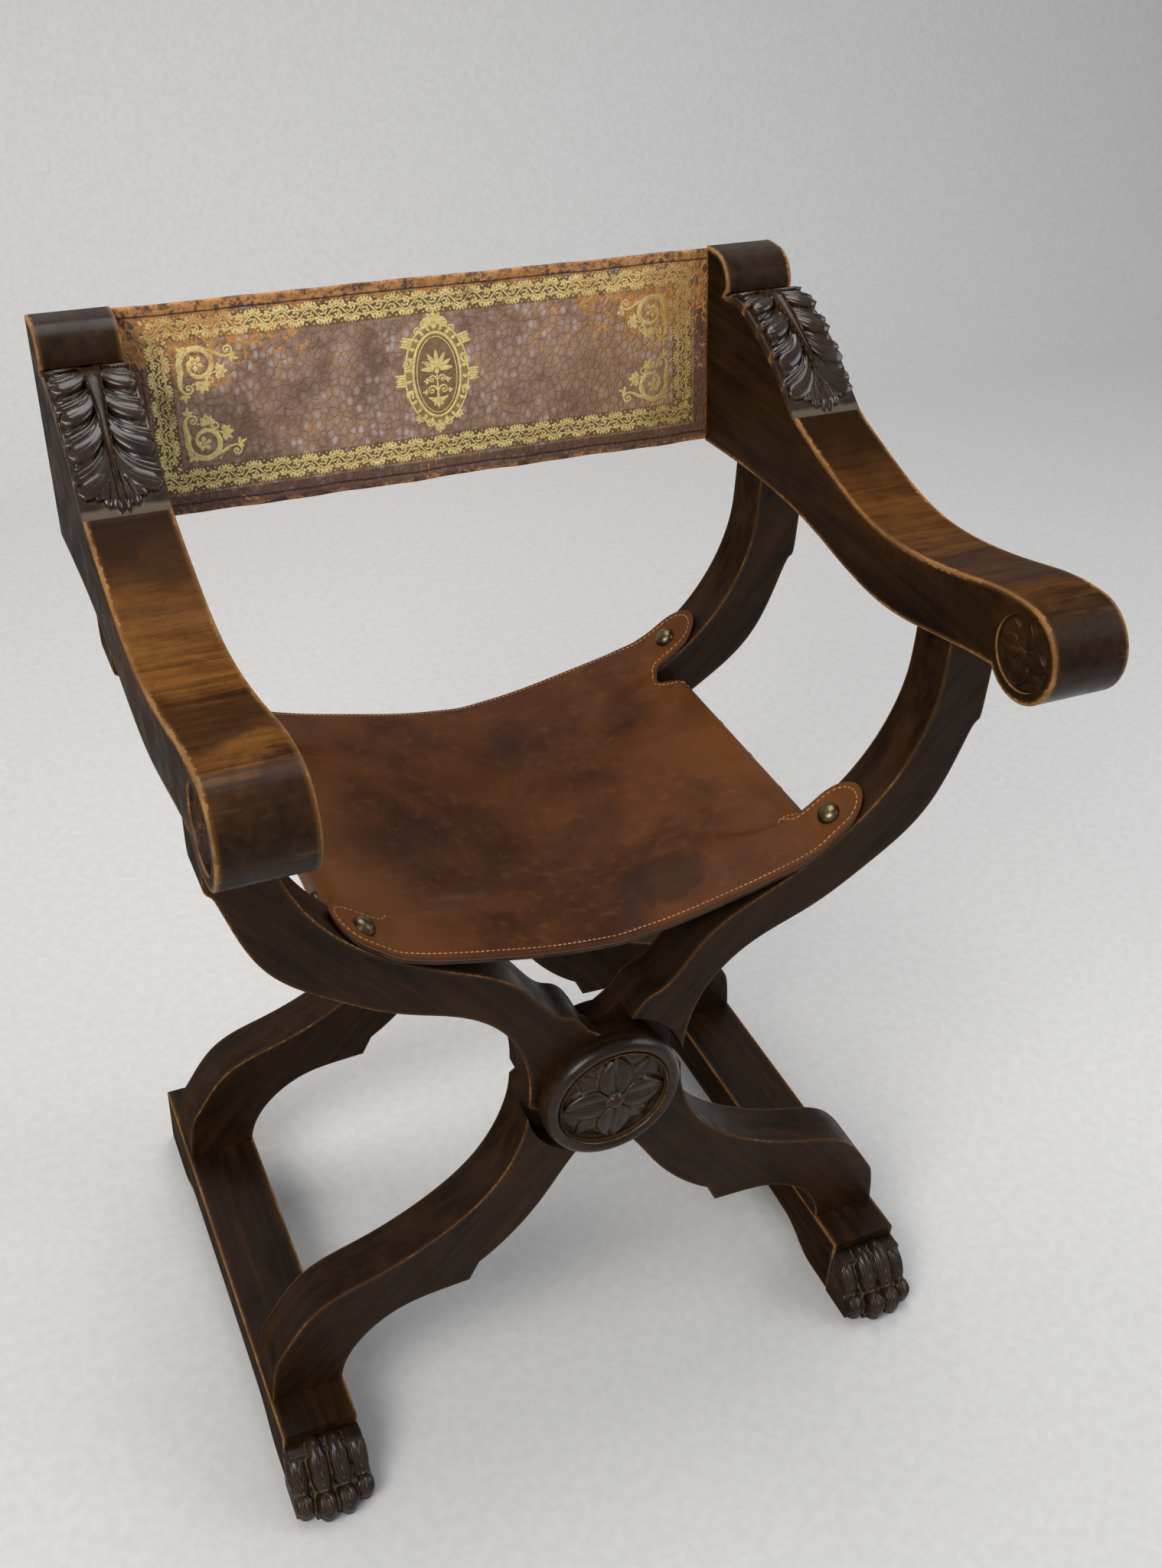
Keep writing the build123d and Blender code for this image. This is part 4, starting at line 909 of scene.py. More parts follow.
def ball(centre, radii, tilt, segments=40, rings=24):
    """Closed ellipsoid with flattened sides, tilted about X."""
    a, b = np.meshgrid(circle(segments), np.linspace(0, pi, rings + 1)[1:-1])
    p = np.stack([np.sin(b) * np.cos(a), np.sin(b) * np.sin(a), np.cos(b)], -1).reshape(-1, 3)
    p = np.vstack([p, [0, 0, 1], [0, 0, -1]])
    p[:, 0] = np.sign(p[:, 0]) * np.abs(p[:, 0]) ** 0.86
    x, y, z = (p * radii).T
    p = np.stack([x, y * cos(tilt) - z * sin(tilt), y * sin(tilt) + z * cos(tilt)], -1) + centre
    n, last = len(p), (rings - 2) * segments
    faces = grid_faces(rings - 1, segments, wrap=True) + fan_faces(n - 2, 0, segments)
    return p, faces + fan_faces(n - 1, last, segments, flip=True)


def remesh(piece, voxel, rounds):
    """Even, relaxed skin over overlapping closed forms."""
    modifier = piece.modifiers.new("skin", "REMESH")
    modifier.mode, modifier.voxel_size = "VOXEL", voxel * 0.001
    bake(piece)
    put_coords(piece, relax(piece, coords(piece), rounds))
    shade(piece.data)


def put_coords(piece, co):
    piece.data.vertices.foreach_set("co", (co * 0.001).astype(np.float32).ravel())
    piece.data.update()


def relax(piece, points, rounds):
    """Moves points halfway to the mean of their neighbours, some rounds."""
    pairs = np.zeros(len(piece.data.edges) * 2, np.int32)
    piece.data.edges.foreach_get("vertices", pairs)
    a, b = pairs.reshape(-1, 2).T
    n = len(points)
    degree = np.maximum(np.bincount(a, minlength=n) + np.bincount(b, minlength=n), 1)
    for _ in range(rounds):
        total = [np.bincount(a, p[b], n) + np.bincount(b, p[a], n) for p in points.T]
        points = points * 0.5 + 0.5 * np.stack(total, -1) / degree[:, None]
    return points


def slab(build, points):
    """Closed form between two equal outlines, given one after the other."""
    n = len(points) // 2
    sides = [[i, (i + 1) % n, n + (i + 1) % n, n + i] for i in range(n)]
    build.add(points, [list(range(n))[::-1], list(range(n, 2 * n))] + sides)


def toe(build, x, reach, top, half):
    """Rough forms of a toe: its joints and a web that fills the gap beside it."""
    for forward, up, long, thick, tilt, wide in JOINTS:
        centre = (PAW_X + x, PAW_BACK - reach * forward, top * up)
        build.add(*ball(centre, (half * wide, reach * long, top * thick), tilt))
    view = [(PAW_BACK if y > 0 else PAW_BACK + y * reach, z * top) for y, z in WEB]
    points = []
    for way in (-1, 1):
        narrow = 0.78 if abs(x) > 20 and way * x > 0 else 1
        points += [(PAW_X + x + way * 10.5 * narrow, y, z) for y, z in view]
    slab(build, points)


def hair_and_claws(co, out):
    """How far each point of a paw stands out by its carved hair and claws."""
    total = np.zeros(len(co))
    depth, lift = PAW_BACK - co[:, 1], co[:, 2]
    front = step(out[:, 2] * 0.55 - out[:, 1] * 0.85, 0.35, 0.7)
    for x, reach, top, half in TOES:
        across = co[:, 0] - PAW_X - x
        near = step(half - 0.8 - np.abs(across), 0.0, 2.0)
        along = -depth * cos(INSTEP) - (lift - top) * sin(INSTEP)
        hair = np.cos((along + np.abs(across) * 0.9) * 2 * pi / 3.5)
        upper = step(lift, top * 0.40, top * 0.50) * step(top * 0.93 - lift, 0, 5)
        lower = step(lift, top * 0.30, top * 0.36) * step(top * 0.52 - lift, 0, 3)
        lower = lower * step(depth, reach * 0.55, reach * 0.65)
        total += near * front * (upper + lower) * (0.50 * hair - 0.34 * bell(across, 0.7))
        line = top * 0.145 + top * 0.13 * (across / half) ** 2
        tip = near * step(depth, reach * 0.72, reach * 0.85)
        for shift, cut in ((0.0, 0.75), (3.3, 0.4)):
            total -= cut * tip * bell(lift - line - shift, 0.75)
        flank = step(half - np.abs(across), 0, 1) * step(np.abs(across) - half * 0.62, 0, 2.5)
        total -= 0.9 * flank * step(line - lift, 0, 2) * tip
    return total


def paw(side):
    """Lion's paw: four toes under one skin, carved with hair and claws."""
    build = Build()
    for sizes in TOES:
        toe(build, *sizes)
    heel = [(PAW_BACK - 15, 0.0), (PAW_BACK, 0.0), (PAW_BACK, 54.5), (PAW_BACK - 15, 54.5)]
    slab(build, [(PAW_X + x, y, z) for x in (-33.4, 33.4) for y, z in heel])
    piece = build.piece(f"{side}_paw_carved")
    remesh(piece, 0.72, 3)
    co, out = coords(piece), read(piece.data, "normal")
    co = co + out * hair_and_claws(co, out)[:, None]
    low = (PAW_X - PAW_HALF, PAW_BACK - PAW_REACH, 0.0)
    co = np.clip(co, low, (PAW_X + PAW_HALF, PAW_BACK, np.inf))
    put_coords(piece, co)
    bulge = np.sum((co - relax(piece, co, 22)) * read(piece.data, "normal"), 1)
    put_attribute(piece.data, "hollow", np.clip(-bulge / 0.42, 0, 1))
    put_attribute(piece.data, "edge", 8 - 6.0 * np.clip((bulge - 0.45) / 0.6, 0, 1))
    if side == "left":
        mirror(piece)
    return piece


for number, side in enumerate(("left", "right")):
    rigid(paw(side), FOOT_BODY[side], f"{side}_paw",
          wood(f"walnut_paw_{side}", ALONG_Y, 90.1 + 6 * number, wear=0.9, dust=0.9, gloss=0.22, shine=0.27))


# ---- leather ---------------------------------------------------------------
def sheet_mesh(ring, place, low, high, pitch):
    """Sheet with a rounded rim: a flat pattern laid out on a surface, from one face to the other."""
    build = Build()
    n, turn_in, thick = len(ring), inward(ring), high - low
    rows = [(3.0, 0.0), (1.5, 0.0), (0.65, 0.03), (0.2, 0.16), (0.0, 0.38)]
    rows = [(i, high - t * thick) for i, t in rows] + [(i, low + t * thick) for i, t in reversed(rows)]
    flats = [ring + turn_in * i for i, _ in rows]
    core = flats[0]
    columns = [np.arange(core[:, k].min() + pitch / 2, core[:, k].max(), pitch) for k in (0, 1)]
    grid = np.stack(np.meshgrid(*columns), -1).reshape(-1, 2)
    grid = grid[inside(grid, core)]
    grid = grid[distance_to_loop(grid, core) > pitch * 0.55]
    _, faces, origin = triangulate([core], grid)
    faces = np.array([[origin[v][0] for v in f] for f in faces])
    points = [place(f[:, 0], f[:, 1], np.full(n, h)) for f, (_, h) in zip(flats, rows)]
    fu, fv = np.concatenate(flats).T
    start = build.add(points, grid_faces(len(rows), n, wrap=True, flip=True), fu=fu, fv=fv,
                      rim=np.repeat([i for i, _ in rows], n), under=np.repeat([0, 1], len(rows) // 2 * n))
    far = distance_to_loop(grid, ring)
    for height, offset, under in ((high, 0, 0.0), (low, (len(rows) - 1) * n, 1.0)):
        base = build.add(place(grid[:, 0], grid[:, 1], np.full(len(grid), height)), [], rim=far,
                         fu=grid[:, 0], fv=grid[:, 1], under=under)
        number = np.concatenate([start + offset + np.arange(n), base + np.arange(len(grid))])[faces]
        build.faces += (number[:, ::-1] if under else number).tolist()
    return build


def unit(vectors):
    """Vectors scaled to length 1."""
    return vectors / np.linalg.norm(vectors, axis=-1, keepdims=True)


def tube(build, path, radius, sides=6):
    """Capped tube along points in space, with a radius for each point."""
    along = unit(np.gradient(path, axis=0))
    a = unit(np.cross(along, np.eye(3)[np.abs(along).max(0).argmin()]))
    b = np.cross(along, a)
    turn = circle(sides)[None, :, None]
    ring = path[:, None] + radius[:, None, None] * (a[:, None] * np.cos(turn) + b[:, None] * np.sin(turn))
    start = build.add(ring, grid_faces(len(path), sides, wrap=True, flip=True))
    ends = [start + i for i in range(sides)], [start + (len(path) - 1) * sides + i for i in range(sides)]
    build.faces += [ends[0], ends[1][::-1]]


def stitches(build, path, place, height, pitch, radius):
    """Row of short raised stitches along a path in the flat pattern."""
    run, t = travelled(path), np.linspace(-1, 1, 5)
    for i in range(int(run[-1] / pitch)):
        at = (i + 0.5) * pitch + t * STITCH / 2
        q, v = (np.interp(at, run, path[:, k]) for k in (0, 1))
        tube(build, place(q, v, height + radius * (0.35 - 1.5 * t**4)), radius * (1 - 0.35 * t**2))


def inner_edge():
    """Inner edge of the right upper member: dense X and Z."""
    raw = node_loops("front_member_b", 1, FRAMES["front"][1])[0]
    first, last = (int(np.hypot(*(raw - end).T).argmin()) for end in ((20, 412), (274, 716)))
    n = len(raw)
    ways = [np.arange(first, first + (last - first) % n + 1),
            np.arange(first, first - (first - last) % n - 1, -1)]
    return hermite(raw[min(ways, key=len) % n])


STITCH = 3.2                                     # length of one stitch
EDGE = inner_edge()
SLING = RAIL_OUTER_X - RAIL_WIDTH                # where the seat leaves the rails
MID_Y = 19.5
TAB_Z = float(np.interp(SLING, EDGE[:, 0], EDGE[:, 1]))
OVER_RAIL, RAIL_ROUND = 18.0, 6.0                # flat and rounded parts of a rail's top
SHAPE = hermite([(0, 1), (0.25, 0.86), (0.6, 0.5), (1, 0)], 12)      # half of the sling's curve


def seat_place(q, y, h):
    """Where a point of the seat's flat pattern lies, at a height above the wood."""
    a, off = np.abs(q), np.abs(y - MID_Y)                  # the frames' inner faces are 130 off the middle
    framed = step(off, 118.5 - 70 * step(SLING - a, 6, 120), 129.5)
    beyond = np.maximum(a - SLING, 0)

    def sling(x):
        end = RAIL_TOP + (TAB_Z - RAIL_TOP) * framed
        sag = 32 + 5 * np.cos(np.clip(off / 118.5, 0, 1) * pi / 2) + 3 * framed
        z = end - sag * np.interp(np.abs(x) / SLING, SHAPE[:, 0], SHAPE[:, 1])
        tab = np.interp(x, EDGE[:, 0], EDGE[:, 1])
        return np.where(x > SLING, np.where(framed > 0.5, tab, RAIL_TOP), z)

    x = np.where(framed > 0.5, a, np.minimum(a, SLING + OVER_RAIL))
    spread = ((0.1, -8), (0.2, -4.8), (0.4, 0), (0.2, 4.8), (0.1, 8))
    z = sum(share * sling(x + shift) for share, shift in spread)
    free = step(SLING - a, 4, 45) * step(178 - off, 0, 26)
    z = z + free * (0.9 * np.sin(q * 0.031 + y * 0.012 + 0.7) + 0.6 * np.sin(y * 0.047 - q * 0.022 + 2.0)
                    + 0.35 * np.sin(q * 0.083 + 1.3) * np.sin(y * 0.061))
    z = z - 1.6 * step(SLING - a, 0, 30) * step(off, 172, 181)
    turn = np.clip((beyond - OVER_RAIL) / RAIL_ROUND, 0, pi / 2)
    down = np.maximum(beyond - OVER_RAIL - RAIL_ROUND * pi / 2, 0)
    wrapped = (beyond > OVER_RAIL) & (framed <= 0.5)
    px = np.where(wrapped, RAIL_OUTER_X - RAIL_ROUND + (RAIL_ROUND + h) * np.sin(turn), x)
    pz = np.where(wrapped, RAIL_TOP - RAIL_ROUND + (RAIL_ROUND + h) * np.cos(turn) - down, z + h)
    return np.stack([np.where(q < 0, -px, px), y, pz], -1)


def joined(loop):
    """A loop with its first point once more at its end."""
    return np.vstack([loop, loop[:1]])


def seat_ring():
    """Flat pattern of the seat: tabs over the members and wraps over the rails."""
    hem = SLING + OVER_RAIL + RAIL_ROUND * pi / 2 + 21
    turn = np.linspace(-pi / 2, pi / 2, 15)
    quarter = [(0, -181), (60, -181), (120, -180.9), (160, -180.2), (184, -178.2), (196, -176.4)]
    quarter += list(zip(205 + 22 * np.cos(turn), -153 + 23 * np.sin(turn)))
    quarter += [(188, -130.0), (183.5, -129.0), (180.6, -126.5), (179.6, -124), (180.2, -121),
                (182.5, -118.6), (187, -118.0), (hem - 4, -118), (hem - 1.2, -116.8), (hem, -114), (hem, 0)]
    right = quarter + [(q, -y) for q, y in reversed(quarter[:-1])]
    left = [(-q, y) for q, y in reversed(right[1:-1])]
    return even(joined(np.array(right + left) + (0, MID_Y)), 2.4)[:-1]


def hide(build, name, nodes, ends, closed=True):
    """Leather piece between the two frames, in place of the nodes it hides."""
    piece = build.piece(name, closed=closed)
    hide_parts(*nodes)
    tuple(ends[0])
    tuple(ends[1])
    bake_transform(piece)
    return piece


SEAT_ENDS = ((-0.179, 0.0195, 0.52), (0.179, 0.0195, 0.52))
SEAT_FACES, LINING_FACES = (3.75, 8.0), (0.35, 3.45)        # heights above the wood
SEAM_INSET = 4.6
ring = seat_ring()
seat = hide(sheet_mesh(ring, seat_place, *SEAT_FACES, pitch=3.2), "seat_leather_hide",
            ["seat_leather"], SEAT_ENDS)
lining = hide(sheet_mesh(ring + inward(ring) * 0.6, seat_place, *LINING_FACES, pitch=5.0), "seat_lining_hide",
              ["seat_lining"], SEAT_ENDS)
thread = Build()
stitches(thread, joined(ring + inward(ring) * SEAM_INSET), seat_place, SEAT_FACES[1], pitch=4.3, radius=0.5)
seat_thread = hide(thread, "seat_stitching", [], SEAT_ENDS)
area = abs(loop_area(ring)) * 1e-6
for piece, share in ((seat, 1.0), (lining, 0.99)):
    float(area * share * 1.02)

PANEL = 176.5 / cos(RECLINE)                     # height of the back along its slope
SIDE_X, FOOT_V, HEAD_V = 332.5, 1.0, PANEL - 2.0


def back_place(x, v, off):
    """Point of the back panel: across, up from its foot and behind the arms' rear faces."""
    x, v, off = np.broadcast_arrays(x, v, off)
    between = step(258 - np.abs(x), 0, 40)
    depth = off + between * (1.2 * np.sin(x * 0.021 + v * 0.015) + 0.8 * np.sin(v * 0.043 + x * 0.009 + 1.0)
                             + 0.5 * np.sin(x * 0.061 - v * 0.03))
    y = BACK_FOOT[0] + v * sin(RECLINE) + depth * cos(RECLINE)
    z = BACK_FOOT[1] + v * cos(RECLINE) - depth * sin(RECLINE)
    return np.stack([x, y, z], -1)


def hemmed(x, v, off):
    """The panel with folded hems: its faces swell near the edges and sink at the seams."""
    edge = np.minimum(np.minimum(v - FOOT_V, HEAD_V - v), SIDE_X - np.abs(x))
    swell = 0.55 * (step(9.5 - edge, 0, 2.0) - bell(edge - 8.6, 0.8)) * step(edge, 0, 2.0)
    free = step(262 - np.abs(x), 0, 8)
    return back_place(x, v, off + np.where(off < 2.2, -swell * free, swell * 0.4))


def back_ring():
    """Flat pattern of the back, with slightly uneven long edges."""
    x, low, high, r = SIDE_X, FOOT_V, HEAD_V, 3.0
    path = [(-x + r, low), (x - r, low), (x, low + r), (x, high - r), (x - r, high), (-x + r, high),
            (-x, high - r), (-x, low + r)]
    run = even(joined(np.array(path)), 2.4)[:-1]
    wave = 0.35 * np.sin(run[:, 0] * 0.05) + 0.25 * np.sin(run[:, 0] * 0.13 + 1)
    run[:, 1] += np.where(run[:, 1] < 40, wave + 0.3, np.where(run[:, 1] > 140, -wave * 0.6 - 0.3, 0))
    return run


def back_seams(ring):
    """Stitches on both faces: a double row along the foot and one along the head."""
    build = Build()
    foot, head = ring[:, 1] < 60, ring[:, 1] > 120
    for inset, half, sides in ((8.6, 324.0, (foot, head)), (SEAM_INSET, 325.2, (foot,))):
        for side in sides:
            line = (ring + inward(ring) * inset)[side]
            line = line[np.argsort(line[:, 0])]
            line = line[np.abs(line[:, 0]) < half]
            for face in (BACK_FRONT + 0.25, BACK_REAR + 0.1):
                stitches(build, line, hemmed, face, pitch=4.6, radius=0.4)
    return build


BACK_ENDS = ((-0.262, 0.26, 0.81), (0.262, 0.26, 0.81))
BACK_FRONT, BACK_REAR = 0.35, 4.0                # faces of the panel behind the arms' rear faces
panel_ring = back_ring()
back = hide(sheet_mesh(panel_ring, hemmed, BACK_REAR, BACK_FRONT, pitch=2.6), "back_leather_hide",
            ["back_leather"], BACK_ENDS)
back_thread = hide(back_seams(panel_ring), "back_stitching", [], BACK_ENDS)


# ---- gilding ---------------------------------------------------------------
def polar(radius, angle, centre=(0.0, 0.0)):
    """Points at a radius and an angle from a centre."""
    return np.stack([centre[0] + radius * np.cos(angle), centre[1] + radius * np.sin(angle)], -1)


class Gilding:
    """Flat ornaments of gold leaf laid on the front of the back panel."""

    def __init__(self):
        self.build = Build()
        self.place((0, 0))

    def place(self, origin, mirror=(1, 1)):
        """Puts the next ornaments at a place, turned over if wanted."""
        self.origin, self.mirror = np.array(origin, float), np.array(mirror, float)

    def put(self, points, faces, raised):
        """Lays flat faces on the panel, each point raised a little above it."""
        u, v = (self.origin + np.asarray(points, float) * self.mirror).T
        if self.mirror.prod() < 0:
            faces = [f[::-1] for f in faces]
        self.build.add(hemmed(u, v, 0.33 - np.array(raised)), faces, fu=u, fv=v)

    def ribbon(self, path, width, rise=0.34):
        path = np.asarray(path, float)
        along = np.gradient(path, axis=0)
        along /= np.maximum(np.hypot(*along.T), 1e-9)[:, None]
        side = np.stack([-along[:, 1], along[:, 0]], -1) * (np.broadcast_to(width, len(path)) / 2)[:, None]
        n = len(path)
        raised = np.repeat([0.06, rise, 0.06], n)
        self.put(np.concatenate([path - side, path, path + side]), grid_faces(3, n), raised)

    def leaf(self, base, heading, length, width, curl=0.0):
        t = np.linspace(0, 1, 7)
        path = np.vstack([[0, 0], np.cumsum(polar(length / 6, heading + curl * t[:-1]), 0)])
        self.ribbon(np.array(base) + path, width * np.sin(pi * (t * 0.93 + 0.05)) ** 0.8)

    def fan(self, base, heading, length, width, spread=0.6, count=3, gap=0.0, rounded=0.28):
        """Leaves that part from one point, the middle one longest."""
        for a in np.linspace(-1, 1, count):
            turn = heading + a * spread
            reach = length * (1 - rounded * abs(a)) - gap
            self.leaf(polar(gap, turn, base), turn, reach, width, 0.55 * a)

    def disc(self, centre, radius, sides=8):
        points = np.vstack([polar(radius, circle(sides), centre), [centre]])
        self.put(points, fan_faces(sides, 0, sides), [0.06] * sides + [0.42])

    def flower(self, centre, radius, turn, petals=5):
        for a in turn + circle(petals):
            self.leaf(polar(0.25 * radius, a, centre), a, radius * 0.78, radius * 3.0 / petals)
        self.disc(centre, radius * 0.26, 6)

    def scroll(self, centre, start, radius, turns, width, hand=1):
        """Ribbon that winds inwards from an angle round a centre, to a small disc."""
        t = np.linspace(0, 1, int(14 * turns) + 6)
        points = polar(radius * ((1 - t) + 0.12 * t), start + hand * 2 * pi * turns * t, centre)
        self.ribbon(points, width * np.linspace(1, 0.5, len(points)))
        self.disc(points[-1], width * 0.75, 6)

    def flutes(self, base, heading, length, width, count):
        """End of a strap, folded into parallel flutes."""
        ahead, side = polar(1.0, heading), polar(1.0, heading + pi / 2)
        for i in range(count):
            foot = np.array(base) + side * (i - (count - 1) / 2) * width / count
            run = np.linspace(0, length * (1 - 0.10 * (i % 2)), 5)[:, None] * ahead
            self.ribbon(foot + run, width / count * np.array([0.75, 0.86, 0.9, 0.95, 0.6]), 0.5)


def border(gold, rng, start, end, hand, width=20.0):
    """Band of scrolling stems filled with leaves and flowers."""
    start, end = np.array(start, float), np.array(end, float)
    length = np.hypot(*(end - start))
    along = (end - start) / length
    side = np.array([-along[1], along[0]])
    cross = atan2(side[1], side[0])
    count = max(2, int(round(length / 12.2)))
    pitch = length / count
    s = np.linspace(0, length, count * 8 + 1)[:, None]
    gold.ribbon(start + s * along + 0.22 * width * hand * np.sin(pi * s / pitch) * side, 1.3)
    for i in range(count):
        way = hand * (1 if i % 2 == 0 else -1)
        out = cross if way > 0 else cross + pi

        def spot(along_share, side_share):
            return start + (i + 0.5 + along_share) * pitch * along + way * side_share * width * side

        eye = spot(0, -0.19)
        gold.scroll(eye, out + way * 0.9, 0.27 * width, 0.84, 1.3, -way)
        gold.flower(eye, 0.165 * width, rng.uniform(0, 2 * pi))
        gold.fan(spot(0, 0.24), out, 0.27 * width, 0.105 * width, 1.15, 5, 0.9, 0.05)
        for turn in (-1, 1):
            curl = turn * way
            gold.fan(spot(turn * 0.40, 0.12), out - curl * 0.35, 0.30 * width, 0.10 * width, 0.5, 2, 0.7, 0.2)
            gold.leaf(spot(turn * 0.47, -0.24), out + pi + curl * 0.3, 0.24 * width, 0.12 * width, curl * 0.4)
            for where, off, radius in ((0.23, 0.46, 0.8), (0.26, -0.42, 0.8), (0.14, 0.07, 0.7)):
                gold.disc(spot(turn * where, off), radius, 6)


def corner(gold):
    """Corner flourish: a strong curled scroll with tendrils and trefoil leaves."""
    centre = (19.0, 18.5)
    turn = np.linspace(158, 640, 46)
    radius = np.interp(turn, [158, 250, 360, 430, 520, 640], [14.5, 13.6, 12.6, 10.6, 7.4, 3.6])
    curl = polar(radius, np.radians(turn), centre)
    path = np.vstack([hermite([(7.5, 41.5), (4.6, 38.0), (4.0, 32.0), curl[0]])[:-1], curl])
    share = np.linspace(0, 1, len(path))
    gold.ribbon(path, np.interp(share, [0, 0.12, 0.35, 0.62, 0.85, 1], [1.4, 2.8, 5.2, 4.4, 2.6, 1.6]), 0.55)
    gold.flower((18.2, 17.4), 6.6, 0.4)
    gold.fan((9.6, 9.0), -2.36, 8.5, 3.4, 0.75, 3, 0.8)
    tendril = hermite([polar(13.4, -0.95, centre), (33.5, 9.4), (40.5, 13.0), (46.5, 13.6)])
    gold.ribbon(tendril, np.linspace(3.4, 1.6, 25), 0.45)
    gold.scroll((45.0, 8.8), 1.35, 4.8, 1.25, 1.9, -1)
    gold.scroll((10.4, 37.6), 2.3, 4.6, 1.2, 1.9, -1)
    gold.fan((46.8, 14.2), 0.35, 8.0, 2.8, 0.8, 3, 0.5)
    gold.fan((6.6, 42.2), 1.5, 8.0, 2.8, 0.8, 3, 0.5)
    knot = [(24.5, 33.2), (27.5, 29.5), (31.0, 30.5), (30.2, 34.2), (26.8, 33.6), (29.0, 27.6), (34.0, 25.6)]
    gold.ribbon(hermite(knot), 1.2)
    for at, turned in (((22.6, 33.6), 1.75), ((34.6, 25.2), 0.05)):
        gold.fan(at, turned, 9.4, 4.4, 1.15, 5, 0.9, 0.25)
        gold.disc(at, 1.2)
    for at in ((36.5, 19.0), (14.5, 34.5), (30.5, 3.6), (3.8, 10.5), (41.5, 20.2)):
        gold.disc(at, 1.0, 6)


MEDALLION, OVAL = (3.0, 93.0), (20.5, 35.0)      # middle and half sizes of the cartouche


def cartouche_side(gold, half_w, half_h):
    """Everything that stands twice in the cartouche, once on each side."""
    for a in np.radians(np.arange(-74, 81, 14)):
        at = ((half_w + 3.0) * cos(a), (half_h + 3.0) * sin(a))
        gold.leaf(at, atan2(sin(a) / half_h, cos(a) / half_w) - 0.5, 5.6, 3.0, 0.9)
    for h, radius, way in ((12.0, 4.6, 1), (-15.0, 4.0, -1)):
        x = (half_w + 7.8) * np.sqrt(1 - (h / (half_h + 8)) ** 2)
        gold.scroll((x, h), way * 2.2, radius, 1.3, 2.0, way)
        gold.disc((x, h), 1.5)
    gold.flutes((half_w + 8.0, -2.5), 0.05, 10.0, 11.0, 5)
    gold.flutes((half_w + 0.5, half_h - 7.0), 0.25, 11.0, 9.5, 4)
    gold.scroll((8.6, half_h + 8.0), pi, 4.8, 1.2, 2.0, -1)
    gold.scroll((15.4, half_h + 3.0), 2.4, 3.6, 1.1, 1.6, -1)
    gold.scroll((9.0, -half_h - 5.5), pi, 4.4, 1.2, 1.8, 1)
    gold.fan((16.5, -half_h + 0.5), -0.8, 8.0, 3.0, 0.7, 4, 0.8)
    for h, radius in ((-13.0, 4.4), (-3.6, 3.7)):
        gold.scroll((radius + 1.0, h), pi, radius, 1.35, 1.5, -1)
        gold.fan((2 * radius + 0.8, h - 1.4), 0.1, 4.6, 1.9, 0.7)
    gold.leaf((1.0, -20), pi / 2 - 1.9, 9, 2.6, 1.2)


def medallion(gold):
    """Oval cartouche of straps and scrolls round a foliate stem."""
    half_w, half_h = OVAL
    gold.place(MEDALLION)
    turn = np.linspace(0, 2 * pi, 97)
    for grow, width, rise in ((1.2, 2.2, 0.7), (-2.2, 0.8, 0.3), (8.6, 1.5, 0.5)):
        gold.ribbon(polar(1.0, turn) * (half_w + grow, half_h + grow), width, rise)
    gold.fan((0, half_h + 7.5), pi / 2, 12.5, 4.6, 1.35, 7, 3.0, 0.12)
    gold.disc((0, half_h + 7.0), 2.4, 10)
    gold.fan((0, -half_h - 8.0), -pi / 2, 8.0, 3.4, 0.9, 5, 1.0)
    gold.disc((0, -half_h - 6.5), 2.2, 10)
    gold.ribbon(np.stack([np.zeros(8), np.linspace(-21, 4, 8)], -1), np.linspace(2.0, 1.0, 8))
    gold.fan((0, 2.5), pi / 2, 19.5, 4.0, 1.2, 7, 3.5, 0.22)
    gold.disc((0, 3.5), 2.2, 10)
    gold.fan((0, -20.0), -pi / 2, 9.0, 3.0, 1.0, 5, 1.2)
    for way in (1, -1):
        gold.place(MEDALLION, (way, 1))
        cartouche_side(gold, half_w, half_h)


def gild():
    """The gilded frame with its corners, and the cartouche in the middle."""
    gold, rng = Gilding(), np.random.default_rng(5)
    left, right, low, high = -236.0, 243.0, 30.0, 156.0
    border(gold, rng, (left - 9, low), (right + 9, low), 1)
    border(gold, rng, (left - 9, high), (right + 9, high), -1)
    border(gold, rng, (left, low + 11), (left, high - 11), 1)
    border(gold, rng, (right, low + 11), (right, high - 11), -1)
    for v, up in ((low, 1), (high, -1)):
        for x, over in ((left, 1), (right, -1)):
            gold.place((x + 12.0 * over, v + 12.0 * up), (over, up))
            corner(gold)
    medallion(gold)
    return gold.build


gilding = hide(gild(), "back_gilding", [], BACK_ENDS, closed=False)


# ---- nails -----------------------------------------------------------------
SEAT_NAIL_R, BACK_NAIL_R = 10.0, 7.0
TAB_NAILS, TAB_NAIL_X = (-133.5, 172.5), 205.0
RAIL_NAIL_PITCH, BACK_NAIL_X, BACK_NAIL_PITCH = 56.0, 300.0, 38.0


